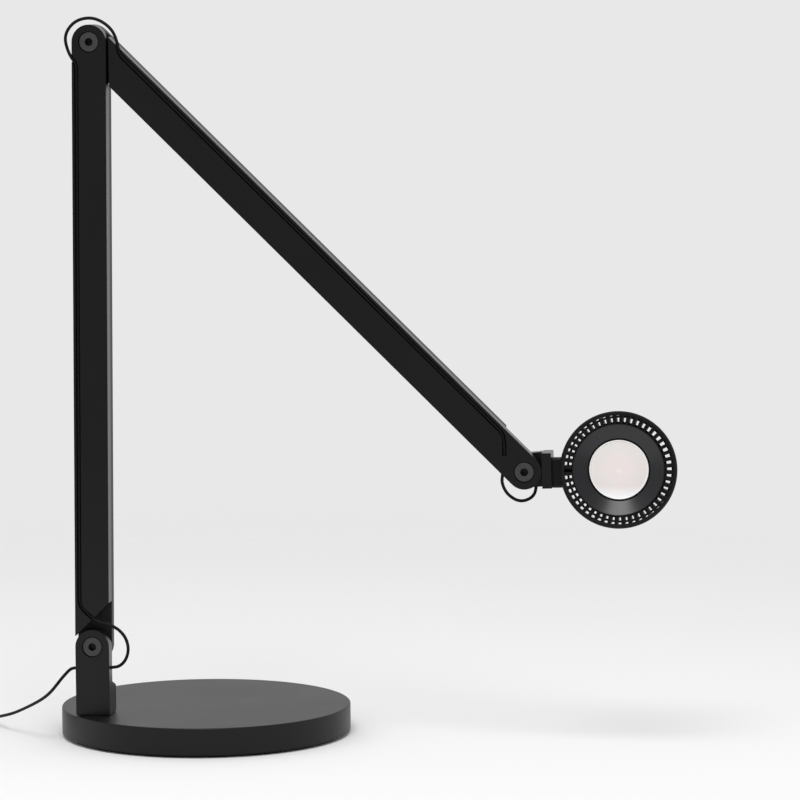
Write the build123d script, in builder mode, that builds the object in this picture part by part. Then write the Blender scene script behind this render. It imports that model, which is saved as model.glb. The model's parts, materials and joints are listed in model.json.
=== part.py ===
from build123d import *
import math
import os

# Two-arm LED desk lamp, in millimetres. The origin is the centre of the base's underside,
# +Z is up and the arms move in a plane parallel to X. The front faces towards -Y.

# ---- driving dimensions: base ------------------------------------------------------------
base_radius = 110.0
base_height = 22.4
base_wall = 2.4
base_edge = 1.2
pad_inset = 5.0
pad_thick = 1.2
floor_plate_inset = 3.0
floor_plate_thick = 1.5
weight_inset = 7.0
weight_thick = 11.0
weight_notch_radius = 17.0
base_screw_inset = 25.0
base_screw_count = 4
base_screw_angle = 79.0
base_screw_radius = 2.0
base_screw_head = 4.0
base_post_radius = 5.0

# ---- driving dimensions: swivel, about a vertical axis at the base's edge -----------------
swivel_inset = 19.25
swivel_bearing = 214.04
spindle_radius = 5.0
spindle_stub = 12.0
swivel_bush_wall = 2.0
swivel_boss_radius = 11.0
swivel_boss_height = 7.0
swivel_washer_thick = 0.6
swivel_washer_radius = 11.0
swivel_nut_radius = 8.0
swivel_nut_thick = 5.0

# ---- driving dimensions: links -------------------------------------------------------------
spindle_depth = 12.1
link_width = 25.7
link_thick = 19.6
plate_thick = 11.0
foot_depth = 24.3
foot_height = 24.0
foot_slope = 4.6
pivot_height = 74.5
arm_length = 451.7
lower_angle = 89.5
upper_angle = -44.6
neck_angle = 1.3
shell_wall = 1.8
lap_cut = 14.7
closed_end = 36.0

# ---- driving dimensions: pivots ------------------------------------------------------------
running_gap = 0.3
bore_gap = 0.05
screw_head_radius = 7.2
screw_head_thick = 2.8
screw_head_edge = 0.4
screw_recess = 0.2
counterbore_radius = 7.8
shank_radius = 3.5
hex_across = 5.5
hex_depth = 4.5
friction_washer_radius = 10.0
friction_washer_thick = 0.9
washer_seat_depth = 0.7
tongue_cover_thick = 1.5
pocket_depth = 3.2
pocket_wall = 1.8
tongue_floor = 1.6
bush_wall = 1.4
nut_radius = 6.8
nut_spanner_hole = 0.9
cam_radius = 8.0
cam_thick = 3.0

# ---- driving dimensions: springs -----------------------------------------------------------
spring_radius = 4.6
spring_wire_radius = 0.75
spring_turns = 24
spring_start = 70.0
spring_length = 168.0
spring_line = 2.5
spring_depth = 12.2
pull_wire_radius = 0.6
anchor_pin_radius = 2.0
shell_screw_radius = 1.25
shell_screw_head = 2.4
shell_post_radius = 3.2
shell_screw_inset = 12.0

# ---- driving dimensions: neck and head -----------------------------------------------------
head_offset = 69.6
head_turn_up = 4.5
neck_rise = 0.9
collar_start = 13.2
collar_end = 20.2
collar_height = 26.2
collar_proud = 1.2
stem_height = 22.3
stem_depth = 15.0
stem_edge = 2.0
stem_drop = 1.5
stem_spindle_radius = 6.0
stem_flange_radius = 7.5
stem_flange_thick = 2.0
wire_hole_radius = 2.0
spigot_radius = 3.0
neck_screw_head = 1.7
neck_screw_grip = 7.0
neck_hole_along = 7.6
neck_hole_across = 3.0
neck_lead_run_in = 1.5
head_radius = 43.2
rim_inner_radius = 40.0
rim_front = 10.8
rim_thick = 6.0
rim_taper = 0.9
sink_radius = 33.7
sink_wall = 2.0
sink_back = 9.0
sink_front = 9.5
sink_web = 2.0
sink_root_radius = 35.2
sink_root_front = 5.0
sink_root_thick = 3.0
fin_count = 48
fin_thick = 2.6
fin_front = 9.0
fin_depth = 15.0
fin_ring_radius = 38.7
fin_ring_width = 1.6
fin_ring_thick = 1.5
cone_inner_radius = 22.7
cone_depth = 5.0
cone_wall = 1.2
cone_lip = 1.0
diffuser_sunk = 0.4
diffuser_radius = 21.9
diffuser_thick = 2.0
diffuser_crown = 1.0
led_board_radius = 21.0
led_board_thick = 1.6
led_count = 12
led_circle_radius = 13.0
led_size = 2.8
led_height = 0.7
back_cover_thick = 2.0
back_screw_count = 3
back_screw_circle_radius = 28.5
back_screw_angle = 60.0
back_screw_radius = 1.25
back_screw_head = 2.5
back_post_radius = 3.0
back_screw_grip = 5.0
button_radius = 6.0
button_proud = 1.5
button_flange = 1.5
button_flange_thick = 1.5
driver_board_radius = 23.0
driver_board_thick = 1.6
driver_board_back = 5.0
driver_post_circle_radius = 18.0
switch_size = 6.0
switch_height = 0.8

# ---- driving dimensions: lead ----------------------------------------------------------------
lead_radius = 1.2
groove_width = 3.2
groove_depth = 2.8
groove_inset = 3.4
inward_corner = 30.2
inward_turn = 50.0
outward_corner = 22.6
outward_far_corner = 16.9
outward_turn = 35.0
dive_corner = 29.9
dive_turn = 45.0
dive_run = 12.6
dive_straight = 2.6
dive_exit_ahead = 9.6
dive_exit_beyond = 1.2
dive_exit_depth = 6.0
groove_radius = 12.0
lead_depth = 1.5
lead_hole_radius = 1.35
bracket_lead_drop = 16.8
bottom_run_in = 4.5
elbow_run_out = 5.0
elbow_run_in = 8.5
coil_pitch = 2.95
coil_layers = 4
coil_turns = 4.375
coil_inner_radius = 7.4
coil_angle = 41.0
coil_x = -227.2
coil_y = 60.7
coil_tail = 12.0
coil_run_in = 20.0
adapter_length = 44.0
adapter_width = 34.0
adapter_height = 26.0
adapter_edge = 4.0
relief_length = 15.0
relief_start_radius = 1.6
relief_radius = 3.2
pin_radius = 2.0
pin_length = 18.0
pin_spacing = 19.0
pin_grip = 6.0

# ---- places worked out from them ---------------------------------------------------------------
pad_radius = base_radius - pad_inset
floor_plate_radius = base_radius - floor_plate_inset
weight_radius = base_radius - weight_inset
base_screw_reach = base_radius - base_screw_inset
swivel_x = (base_radius - swivel_inset) * math.cos(math.radians(swivel_bearing))
swivel_y = (base_radius - swivel_inset) * math.sin(math.radians(swivel_bearing))
front_y = swivel_y - spindle_depth
half_width = link_width / 2
tongue_front = plate_thick + running_gap
cover_back = tongue_front + tongue_cover_thick
pocket_back = cover_back + pocket_depth
floor_back = pocket_back + tongue_floor
bush_radius = shank_radius + bush_wall
cut_shift = lap_cut * math.sqrt(2)
foot_bottom = base_height + swivel_washer_thick
groove_line = -(half_width - groove_inset)
stem_axis_depth = link_thick / 2
anchor_place = spring_start + spring_length + spring_wire_radius + anchor_pin_radius + running_gap
pad_top = pad_thick
plate_top = pad_thick + floor_plate_thick


def ahead(point, angle, distance):
    """The point (x, z) that lies distance further along a direction in the arms' plane."""
    turn = math.radians(angle)
    return (point[0] + distance * math.cos(turn), point[1] + distance * math.sin(turn))


lower_pivot = (swivel_x, pivot_height)
elbow_pivot = ahead(lower_pivot, lower_angle, arm_length)
head_pivot = ahead(elbow_pivot, upper_angle, arm_length)
head_centre = ahead(head_pivot, neck_angle, head_offset)


def link_plane(pivot, angle, depth=0.0):
    """A plane on a link: x along the link, y across it and z from the front to the back."""
    turn = math.radians(angle)
    return Plane(
        origin=(pivot[0], front_y + depth, pivot[1]),
        x_dir=(math.cos(turn), 0, math.sin(turn)),
        z_dir=(0, 1, 0),
    )


def on_link(pivot, angle, along, across, depth):
    """The point in the lamp's frame for a place given on a link."""
    turn = math.radians(angle)
    x = pivot[0] + along * math.cos(turn) + across * math.sin(turn)
    z = pivot[1] + along * math.sin(turn) - across * math.cos(turn)
    return (x, front_y + depth, z)


links = {
    "lower": (lower_pivot, lower_angle, -1),
    "upper": (elbow_pivot, upper_angle, 1),
}
pieces = {}

# ---- base ------------------------------------------------------------------------------------
# A shallow drum: a pressed cover over a round iron weight, closed by a floor plate and a pad.
with BuildPart() as base_cover:
    with BuildSketch(Plane.XY.offset(plate_top)):
        Circle(base_radius)
    extrude(amount=base_height - plate_top)
    with BuildSketch(Plane.XY.offset(plate_top)):
        Circle(base_radius - base_wall)
    extrude(amount=base_height - plate_top - base_wall, mode=Mode.SUBTRACT)
    fillet(base_cover.edges().filter_by(GeomType.CIRCLE).group_by(Axis.Z)[-1], base_edge)
    with BuildSketch(Plane.XY.offset(base_height - base_wall)):
        with Locations((swivel_x, swivel_y)):
            Circle(swivel_boss_radius)
    extrude(amount=-swivel_boss_height)
    with BuildSketch(Plane.XY.offset(base_height - base_wall)):
        with PolarLocations(base_screw_reach, base_screw_count, base_screw_angle):
            Circle(base_post_radius)
    extrude(amount=-(base_height - base_wall - plate_top))
    with BuildSketch(Plane.XY.offset(plate_top)):
        with PolarLocations(base_screw_reach, base_screw_count, base_screw_angle):
            Circle(base_screw_radius)
    extrude(amount=base_height - base_wall - plate_top - base_wall, mode=Mode.SUBTRACT)
    with BuildSketch(Plane.XY.offset(base_height)):
        with Locations((swivel_x, swivel_y)):
            Circle(spindle_radius + swivel_bush_wall)
    extrude(amount=-(base_wall + swivel_boss_height), mode=Mode.SUBTRACT)
pieces["base_cover"] = base_cover

with BuildPart() as base_weight:
    with BuildSketch(Plane.XY.offset(plate_top)):
        Circle(weight_radius)
        with Locations((swivel_x, swivel_y)):
            Circle(weight_notch_radius, mode=Mode.SUBTRACT)
        with PolarLocations(base_screw_reach, base_screw_count, base_screw_angle):
            Circle(base_post_radius + running_gap, mode=Mode.SUBTRACT)
    extrude(amount=weight_thick)
pieces["base_weight"] = base_weight

with BuildPart() as base_floor_plate:
    with BuildSketch(Plane.XY.offset(pad_top)):
        Circle(floor_plate_radius)
        with PolarLocations(base_screw_reach, base_screw_count, base_screw_angle):
            Circle(base_screw_radius + bore_gap, mode=Mode.SUBTRACT)
    extrude(amount=floor_plate_thick)
pieces["base_floor_plate"] = base_floor_plate

with BuildPart() as base_pad:
    with BuildSketch():
        Circle(pad_radius)
        with PolarLocations(base_screw_reach, base_screw_count, base_screw_angle):
            Circle(base_screw_head + running_gap, mode=Mode.SUBTRACT)
    extrude(amount=pad_thick)
pieces["base_pad"] = base_pad

with BuildPart() as base_screws:
    with BuildSketch(Plane.XY.offset(running_gap)):
        with PolarLocations(base_screw_reach, base_screw_count, base_screw_angle):
            Circle(base_screw_head)
            RegularPolygon(base_screw_radius / 2, 6, mode=Mode.SUBTRACT)
    extrude(amount=pad_thick - running_gap)
    with BuildSketch(Plane.XY.offset(pad_top)):
        with PolarLocations(base_screw_reach, base_screw_count, base_screw_angle):
            Circle(base_screw_radius - bore_gap)
    extrude(amount=weight_thick)
pieces["base_screws"] = base_screws

# ---- swivel ----------------------------------------------------------------------------------
# A steel spindle fixed in the bracket's foot turns in a bush in the base and is held by a nut.
bush_bottom = base_height - base_wall - swivel_boss_height
with BuildPart() as swivel_bush:
    with BuildSketch(Plane.XY.offset(bush_bottom)):
        with Locations((swivel_x, swivel_y)):
            Circle(spindle_radius + swivel_bush_wall)
            Circle(spindle_radius + bore_gap, mode=Mode.SUBTRACT)
    extrude(amount=base_height - bush_bottom)
pieces["swivel_bush"] = swivel_bush

with BuildPart() as swivel_washer:
    with BuildSketch(Plane.XY.offset(base_height)):
        with Locations((swivel_x, swivel_y)):
            Circle(swivel_washer_radius)
            Circle(spindle_radius + running_gap, mode=Mode.SUBTRACT)
    extrude(amount=swivel_washer_thick - bore_gap)
pieces["swivel_washer"] = swivel_washer

nut_bottom = bush_bottom - running_gap - swivel_nut_thick
with BuildPart() as swivel_spindle:
    with BuildSketch(Plane.XY.offset(nut_bottom)):
        with Locations((swivel_x, swivel_y)):
            Circle(spindle_radius)
    extrude(amount=foot_bottom + spindle_stub - nut_bottom)
    chamfer(swivel_spindle.edges().filter_by(GeomType.CIRCLE), spindle_radius / 10)
pieces["swivel_spindle"] = swivel_spindle

with BuildPart() as swivel_nut:
    with BuildSketch(Plane.XY.offset(nut_bottom)):
        with Locations((swivel_x, swivel_y)):
            RegularPolygon(swivel_nut_radius, 6, major_radius=False)
            Circle(spindle_radius, mode=Mode.SUBTRACT)
    extrude(amount=swivel_nut_thick)
pieces["swivel_nut"] = swivel_nut

# ---- bracket -----------------------------------------------------------------------------------
# An upright plate in front of the lower arm's tongue, standing on a deeper foot.
plate_drop = pivot_height - foot_bottom
bracket_plane = link_plane(lower_pivot, 90)
with BuildPart() as bracket:
    with BuildSketch(bracket_plane):
        with BuildLine():
            Line((-plate_drop, -half_width), (0, -half_width))
            ThreePointArc((0, -half_width), (half_width, 0), (0, half_width))
            Polyline((0, half_width), (-plate_drop, half_width), (-plate_drop, -half_width))
        make_face()
    extrude(amount=plate_thick)
    with BuildSketch(Plane.YZ.offset(swivel_x - half_width)):
        with BuildLine():
            foot_top = foot_bottom + foot_height
            Polyline(
                (front_y, foot_bottom),
                (front_y + foot_depth, foot_bottom),
                (front_y + foot_depth, foot_top - foot_slope),
                (front_y + plate_thick, foot_top),
                (front_y, foot_top),
                close=True,
            )
        make_face()
    extrude(amount=link_width)
    with BuildSketch(bracket_plane):
        Circle(counterbore_radius)
    extrude(amount=screw_head_thick + screw_recess, mode=Mode.SUBTRACT)
    with BuildSketch(bracket_plane):
        Circle(shank_radius + bore_gap)
    extrude(amount=plate_thick, mode=Mode.SUBTRACT)
    with BuildSketch(bracket_plane.offset(plate_thick)):
        Circle(friction_washer_radius + bore_gap)
    extrude(amount=-washer_seat_depth, mode=Mode.SUBTRACT)
    with BuildSketch(Plane.YZ.offset(swivel_x - half_width)):
        with Locations((front_y + plate_thick / 2, pivot_height - bracket_lead_drop)):
            Circle(lead_hole_radius)
    extrude(amount=link_width, mode=Mode.SUBTRACT)
    with BuildSketch(Plane.XY.offset(foot_bottom)):
        with Locations((swivel_x, swivel_y)):
            Circle(spindle_radius + bore_gap)
    extrude(amount=spindle_stub, mode=Mode.SUBTRACT)
pieces["bracket"] = bracket


# ---- pivot hardware: a socket screw, its friction washer, two bush rings and a disc nut ----------
def pivot_screw(plane):
    with BuildPart() as screw:
        with BuildSketch(plane.offset(screw_recess)):
            Circle(screw_head_radius)
        extrude(amount=screw_head_thick)
        chamfer(screw.faces().sort_by(Axis.Y)[0].edges(), screw_head_edge)
        with BuildSketch(plane.offset(screw_recess + screw_head_thick)):
            Circle(shank_radius)
        extrude(amount=link_thick - running_gap - screw_recess - screw_head_thick)
        with BuildSketch(plane.offset(screw_recess)):
            RegularPolygon(hex_across / 2, 6, major_radius=False)
        extrude(amount=hex_depth, mode=Mode.SUBTRACT)
    return screw


def friction_washer(plane):
    with BuildPart() as washer:
        with BuildSketch(plane.offset(plate_thick - washer_seat_depth)):
            Circle(friction_washer_radius)
            Circle(shank_radius + bore_gap, mode=Mode.SUBTRACT)
        extrude(amount=friction_washer_thick)
    return washer


def pivot_bushes(plane):
    with BuildPart() as bushes:
        for start, thick in ((tongue_front, tongue_cover_thick), (pocket_back, tongue_floor)):
            with BuildSketch(plane.offset(start)):
                Circle(bush_radius)
                Circle(shank_radius + bore_gap, mode=Mode.SUBTRACT)
            extrude(amount=thick)
    return bushes


def pivot_nut(plane):
    nut_front = floor_back + bore_gap
    with BuildPart() as nut:
        with BuildSketch(plane.offset(nut_front)):
            Circle(nut_radius)
            Circle(shank_radius, mode=Mode.SUBTRACT)
            with PolarLocations((nut_radius + shank_radius) / 2, 2):
                Circle(nut_spanner_hole, mode=Mode.SUBTRACT)
        extrude(amount=link_thick - nut_front)
    return nut


def spring_cam(plane):
    with BuildPart() as cam:
        with BuildSketch(plane.offset(cover_back + (pocket_depth - cam_thick) / 2)):
            Circle(cam_radius)
            Circle(shank_radius, mode=Mode.SUBTRACT)
        extrude(amount=cam_thick)
        groove_centre = Plane(
            origin=plane.offset(cover_back + pocket_depth / 2).origin + plane.x_dir * cam_radius,
            x_dir=plane.x_dir,
            z_dir=plane.x_dir.cross(plane.z_dir),
        )
        with BuildSketch(groove_centre):
            Circle(pull_wire_radius + running_gap)
        revolve(axis=Axis(plane.origin, plane.z_dir), mode=Mode.SUBTRACT)
    return cam


def anchor_pin(plane):
    with BuildPart() as pin:
        with BuildSketch(plane.offset(shell_wall)):
            with Locations((anchor_place, spring_line + spring_radius)):
                Circle(anchor_pin_radius)
        extrude(amount=link_thick - 2 * shell_wall)
    return pin


# ---- balance springs: a wire from the cam to a coil spring that is hooked on a pin ----------------
def tube(path, radius):
    """A round tube swept along a path."""
    with BuildPart() as swept:
        with BuildSketch(Plane(origin=path @ 0, z_dir=path % 0)):
            Circle(radius)
        sweep(path=path)
    return swept


def smooth_path(points, headings):
    """Pairs of tangent arcs through points that have given headings."""
    with BuildLine() as path:
        steps = zip(points, points[1:], headings, headings[1:])
        for start, end, leave, arrive in steps:
            chord = end - start
            both = chord.dot(leave + arrive)
            spread = 2 * (1 - leave.dot(arrive))
            pull = (math.sqrt(both**2 + spread * chord.dot(chord)) - both) / spread
            knee_in = start + leave * pull
            knee_out = end - arrive * pull
            middle = (knee_in + knee_out) * 0.5
            TangentArc(start, middle, tangent=leave)
            TangentArc(middle, end, tangent=knee_out - knee_in)
    return path.wires()[0]


def balance_spring(plane):
    """An open coil spring that lies along the arm."""
    pitch = spring_length / spring_turns
    points = []
    headings = []
    for half_turn in range(2 * spring_turns + 1):
        turn = math.pi * half_turn
        place = plane.from_local_coords(
            (
                spring_start + pitch * half_turn / 2,
                spring_line + spring_radius * math.cos(turn),
                spring_depth,
            )
        )
        heading = plane.x_dir * pitch + plane.z_dir * (2 * math.pi * spring_radius * math.cos(turn))
        points.append(place)
        headings.append(heading.normalized())
    return tube(smooth_path(points, headings), spring_wire_radius)


def pull_wire(plane):
    """A cable that lies in the cam's groove and runs to the near end of the spring."""
    wire_depth = cover_back + pocket_depth / 2
    hook = spring_start - pull_wire_radius - spring_wire_radius - running_gap
    corners = (
        (-cam_radius, 0, wire_depth),
        (-cam_radius, cam_radius, wire_depth),
        (closed_end, spring_line + spring_radius, wire_depth),
        (hook, spring_line + spring_radius, spring_depth),
    )
    with BuildLine() as route:
        points = [plane.from_local_coords(corner) for corner in corners]
        FilletPolyline(*points, radius=cam_radius - running_gap)
    return tube(route.wires()[0], pull_wire_radius)


# ---- lead groove: a straight run along the arm with a bend at each end -----------------------------
def aside(corner, turn, run):
    """The point a run away from a corner, turned from the arm's own direction."""
    angle = math.radians(turn)
    return (corner[0] + run * math.cos(angle), corner[1] + run * math.sin(angle))


def groove_points(name, reach):
    """The groove's corners on a link, from its start to its end, with both ends run on by reach."""
    edge_run = (half_width + groove_line) / math.sin(math.radians(outward_turn)) + reach
    if name == "lower":
        near = (inward_corner, groove_line)
        slope = math.radians(inward_turn)
        cut_run = (near[0] - near[1] - cut_shift) / (math.cos(slope) + math.sin(slope)) + reach
        entry = aside(near, 180 - inward_turn, cut_run)
        far = (arm_length - outward_far_corner, groove_line)
        leave = aside(far, -outward_turn, edge_run)
    else:
        near = (outward_corner, groove_line)
        entry = aside(near, 180 + outward_turn, edge_run)
        far = (arm_length - dive_corner, groove_line)
        leave = aside(far, dive_turn, dive_run + reach)
    return entry, near, far, leave


# ---- arms ------------------------------------------------------------------------------------------
# Each arm is a front shell, whose far end is the plate that the next link is screwed to, and a
# rear shell, whose near end is the tongue that turns behind the link before it.
screw_end = closed_end + shell_screw_inset
screw_places = (screw_end, arm_length / 2, arm_length - screw_end)
dive_mouth = groove_points("upper", dive_straight)[3]
dive_exit = (dive_mouth[0] + dive_exit_ahead, half_width + dive_exit_beyond)


def arm_front_shell(name, plane):
    cavity_side = groove_line + groove_width / 2 + shell_wall
    with BuildPart() as shell:
        with BuildSketch(plane):
            with BuildLine():
                Polyline(
                    (arm_length, -half_width),
                    (cut_shift - half_width, -half_width),
                    (cut_shift + half_width, half_width),
                    (arm_length, half_width),
                )
                ThreePointArc(
                    (arm_length, half_width), (arm_length + half_width, 0), (arm_length, -half_width)
                )
            make_face()
        extrude(amount=plate_thick)
        with BuildSketch(plane.offset(shell_wall)):
            with BuildLine():
                Polyline(
                    (closed_end, cavity_side),
                    (arm_length - closed_end, cavity_side),
                    (arm_length - closed_end, half_width - shell_wall),
                    (closed_end, half_width - shell_wall),
                    close=True,
                )
            make_face()
        extrude(amount=plate_thick - shell_wall, mode=Mode.SUBTRACT)
        with BuildSketch(plane):
            with BuildLine():
                FilletPolyline(*groove_points(name, groove_width), radius=groove_radius)
            trace(line_width=groove_width)
        extrude(amount=groove_depth, mode=Mode.SUBTRACT)
        with BuildSketch(plane):
            with Locations((arm_length, 0)):
                Circle(counterbore_radius)
        extrude(amount=screw_head_thick + screw_recess, mode=Mode.SUBTRACT)
        with BuildSketch(plane):
            with Locations((arm_length, 0)):
                Circle(shank_radius + bore_gap)
        extrude(amount=plate_thick, mode=Mode.SUBTRACT)
        with BuildSketch(plane.offset(plate_thick)):
            with Locations((arm_length, 0)):
                Circle(friction_washer_radius + bore_gap)
        extrude(amount=-washer_seat_depth, mode=Mode.SUBTRACT)
        with BuildSketch(plane.offset(plate_thick)):
            with Locations(*[(place, groove_line) for place in screw_places]):
                Circle(shell_screw_radius + bore_gap)
        extrude(amount=-(plate_thick - groove_depth - shell_wall), mode=Mode.SUBTRACT)
        if name == "upper":
            mouth = plane.from_local_coords((*dive_mouth, lead_depth))
            out = plane.from_local_coords((*dive_exit, dive_exit_depth))
            with BuildSketch(Plane(origin=mouth, z_dir=out - mouth)):
                Circle(groove_width / 2)
            extrude(amount=(out - mouth).length + groove_width, mode=Mode.SUBTRACT)
    return shell


def arm_rear_shell(plane, end_side):
    low_end = (arm_length - cut_shift - end_side * half_width, -half_width)
    high_end = (arm_length - cut_shift + end_side * half_width, half_width)
    inner = half_width - pocket_wall
    with BuildPart() as shell:
        with BuildSketch(plane.offset(cover_back)):
            with BuildLine():
                Polyline((0, half_width), high_end, low_end, (0, -half_width))
                ThreePointArc((0, -half_width), (-half_width, 0), (0, half_width))
            make_face()
        extrude(amount=link_thick - cover_back)
        with BuildSketch(plane.offset(plate_thick)):
            with BuildLine():
                Polyline(
                    (cut_shift - half_width, -half_width),
                    (cut_shift + half_width, half_width),
                    high_end,
                    low_end,
                    close=True,
                )
            make_face()
        extrude(amount=cover_back - plate_thick)
        with BuildSketch(plane.offset(cover_back)):
            Circle(inner)
            with Locations((closed_end / 2, 0)):
                Rectangle(closed_end, 2 * inner)
        extrude(amount=pocket_depth, mode=Mode.SUBTRACT)
        with BuildSketch(plane.offset(plate_thick)):
            with Locations((arm_length / 2, 0)):
                Rectangle(arm_length - 2 * closed_end, 2 * inner)
        extrude(amount=link_thick - shell_wall - plate_thick, mode=Mode.SUBTRACT)
        with BuildSketch(plane.offset(plate_thick)):
            with Locations(*[(place, groove_line) for place in screw_places]):
                Circle(shell_post_radius)
        extrude(amount=link_thick - plate_thick - shell_wall)
        with BuildSketch(plane.offset(plate_thick)):
            with Locations(*[(place, groove_line) for place in screw_places]):
                Circle(shell_screw_radius + bore_gap)
        extrude(amount=link_thick - plate_thick, mode=Mode.SUBTRACT)
        with BuildSketch(plane.offset(link_thick)):
            with Locations(*[(place, groove_line) for place in screw_places]):
                Circle(shell_screw_head + bore_gap)
        extrude(amount=-shell_wall, mode=Mode.SUBTRACT)
        with BuildSketch(plane.offset(floor_back)):
            Circle(nut_radius + running_gap)
        extrude(amount=link_thick - floor_back, mode=Mode.SUBTRACT)
        with BuildSketch(plane.offset(pocket_back)):
            Circle(bush_radius)
        extrude(amount=tongue_floor, mode=Mode.SUBTRACT)
    return shell


def tongue_cover(plane):
    with BuildPart() as cover:
        with BuildSketch(plane.offset(tongue_front)):
            with BuildLine():
                Polyline(
                    (0, half_width),
                    (cut_shift + half_width - running_gap, half_width),
                    (cut_shift - half_width - running_gap, -half_width),
                    (0, -half_width),
                )
                ThreePointArc((0, -half_width), (-half_width, 0), (0, half_width))
            make_face()
            Circle(bush_radius, mode=Mode.SUBTRACT)
        extrude(amount=tongue_cover_thick)
    return cover


def shell_screws(plane):
    head_thick = shell_wall - running_gap
    with BuildPart() as screws:
        with BuildSketch(plane.offset(link_thick - running_gap)):
            with Locations(*[(place, groove_line) for place in screw_places]):
                Circle(shell_screw_head)
        extrude(amount=-head_thick + bore_gap)
        with BuildSketch(plane.offset(link_thick - running_gap)):
            with Locations(*[(place, groove_line) for place in screw_places]):
                RegularPolygon(shell_screw_radius, 6)
        extrude(amount=-head_thick / 2, mode=Mode.SUBTRACT)
        with BuildSketch(plane.offset(link_thick - running_gap - head_thick + bore_gap)):
            with Locations(*[(place, groove_line) for place in screw_places]):
                Circle(shell_screw_radius)
        extrude(amount=-(link_thick - shell_wall - groove_depth - 2 * shell_wall))
    return screws


for name, (pivot, angle, end_side) in links.items():
    plane = link_plane(pivot, angle)
    pieces[f"{name}_front_shell"] = arm_front_shell(name, plane)
    pieces[f"{name}_rear_shell"] = arm_rear_shell(plane, end_side)
    pieces[f"{name}_tongue_cover"] = tongue_cover(plane)
    pieces[f"{name}_shell_screws"] = shell_screws(plane)
    pieces[f"{name}_pivot_bushes"] = pivot_bushes(plane)
    pieces[f"{name}_pivot_screw"] = pivot_screw(plane)
    pieces[f"{name}_friction_washer"] = friction_washer(plane)
    pieces[f"{name}_pivot_nut"] = pivot_nut(plane)
    pieces[f"{name}_spring_cam"] = spring_cam(plane)
    pieces[f"{name}_balance_spring"] = balance_spring(plane)
    pieces[f"{name}_pull_wire"] = pull_wire(plane)
    pieces[f"{name}_anchor_pin"] = anchor_pin(plane)

head_pivot_plane = link_plane(head_pivot, neck_angle)
pieces["head_pivot_screw"] = pivot_screw(head_pivot_plane)
pieces["head_friction_washer"] = friction_washer(head_pivot_plane)
pieces["head_pivot_bushes"] = pivot_bushes(head_pivot_plane)
pieces["head_pivot_nut"] = pivot_nut(head_pivot_plane)

# ---- neck ------------------------------------------------------------------------------------------
# A tongue behind the upper arm's end carries the rear half of a collar. The front half closes over
# the stem's spindle, and two screws from the back hold the halves together.
collar_width = collar_end - collar_start
collar_middle = collar_start + collar_width / 2
collar_back = link_thick + collar_proud
flange_start = collar_start + shell_wall
flange_room = stem_flange_thick + 2 * running_gap
collar_low = collar_height / 2 - neck_rise
collar_high = collar_height / 2 + neck_rise
flange_edge = stem_flange_radius + running_gap
neck_screw_places = (
    (collar_middle, (collar_low + flange_edge) / 2),
    (collar_middle, -(collar_high + flange_edge) / 2),
)
tongue_middle = (tongue_front + link_thick) / 2
collar_plane = link_plane(head_pivot, neck_angle, stem_axis_depth)
flange_plane = Plane(
    origin=collar_plane.from_local_coords((flange_start, 0, 0)),
    x_dir=collar_plane.z_dir,
    z_dir=collar_plane.x_dir,
)

with BuildPart() as stem_bearing:
    with BuildSketch(flange_plane):
        Circle(stem_flange_radius + running_gap)
    extrude(amount=flange_room)
    with BuildSketch(flange_plane):
        Circle(stem_spindle_radius + bore_gap)
    extrude(amount=collar_width)

with BuildPart() as lead_way:
    lead_mouth = head_pivot_plane.from_local_coords((neck_hole_along, half_width, tongue_middle))
    with BuildSketch(Plane(origin=lead_mouth, z_dir=head_pivot_plane.y_dir * -1)):
        Circle(lead_hole_radius)
    extrude(amount=half_width - neck_hole_across + lead_hole_radius)
    lead_turn = head_pivot_plane.from_local_coords((neck_hole_along, neck_hole_across, tongue_middle))
    with BuildSketch(Plane(origin=lead_turn, z_dir=head_pivot_plane.x_dir)):
        Circle(lead_hole_radius)
    extrude(amount=flange_start + running_gap - neck_hole_along)

with BuildPart() as neck_block:
    with BuildSketch(head_pivot_plane.offset(tongue_front)):
        with BuildLine():
            Polyline(
                (0, half_width),
                (collar_start, half_width - neck_rise),
                (collar_start, -half_width - neck_rise),
                (0, -half_width),
            )
            ThreePointArc((0, -half_width), (-half_width, 0), (0, half_width))
        make_face()
    extrude(amount=link_thick - tongue_front)
    with BuildSketch(collar_plane):
        with Locations((collar_middle, -neck_rise)):
            Rectangle(collar_width, collar_height)
    extrude(amount=collar_back - stem_axis_depth)
    with BuildSketch(head_pivot_plane.offset(tongue_front)):
        Circle(bush_radius)
    extrude(amount=link_thick - tongue_front, mode=Mode.SUBTRACT)
    with BuildSketch(head_pivot_plane.offset(floor_back)):
        Circle(nut_radius + running_gap)
    extrude(amount=link_thick - floor_back, mode=Mode.SUBTRACT)
    with BuildSketch(collar_plane):
        with Locations(*neck_screw_places):
            Circle(shell_screw_radius + bore_gap)
    extrude(amount=collar_back - stem_axis_depth, mode=Mode.SUBTRACT)
    with BuildSketch(head_pivot_plane.offset(collar_back)):
        with Locations(*neck_screw_places):
            Circle(neck_screw_head + bore_gap)
    extrude(amount=-shell_wall, mode=Mode.SUBTRACT)
    add(stem_bearing.part, mode=Mode.SUBTRACT)
    add(lead_way.part, mode=Mode.SUBTRACT)
pieces["neck_block"] = neck_block

with BuildPart() as neck_cap:
    with BuildSketch(collar_plane):
        with Locations((collar_middle, -neck_rise)):
            Rectangle(collar_width, collar_height)
    extrude(amount=-(stem_axis_depth + collar_proud))
    with BuildSketch(collar_plane):
        with Locations(*neck_screw_places):
            Circle(shell_screw_radius + bore_gap)
    extrude(amount=-neck_screw_grip, mode=Mode.SUBTRACT)
    add(stem_bearing.part, mode=Mode.SUBTRACT)
pieces["neck_cap"] = neck_cap

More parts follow.
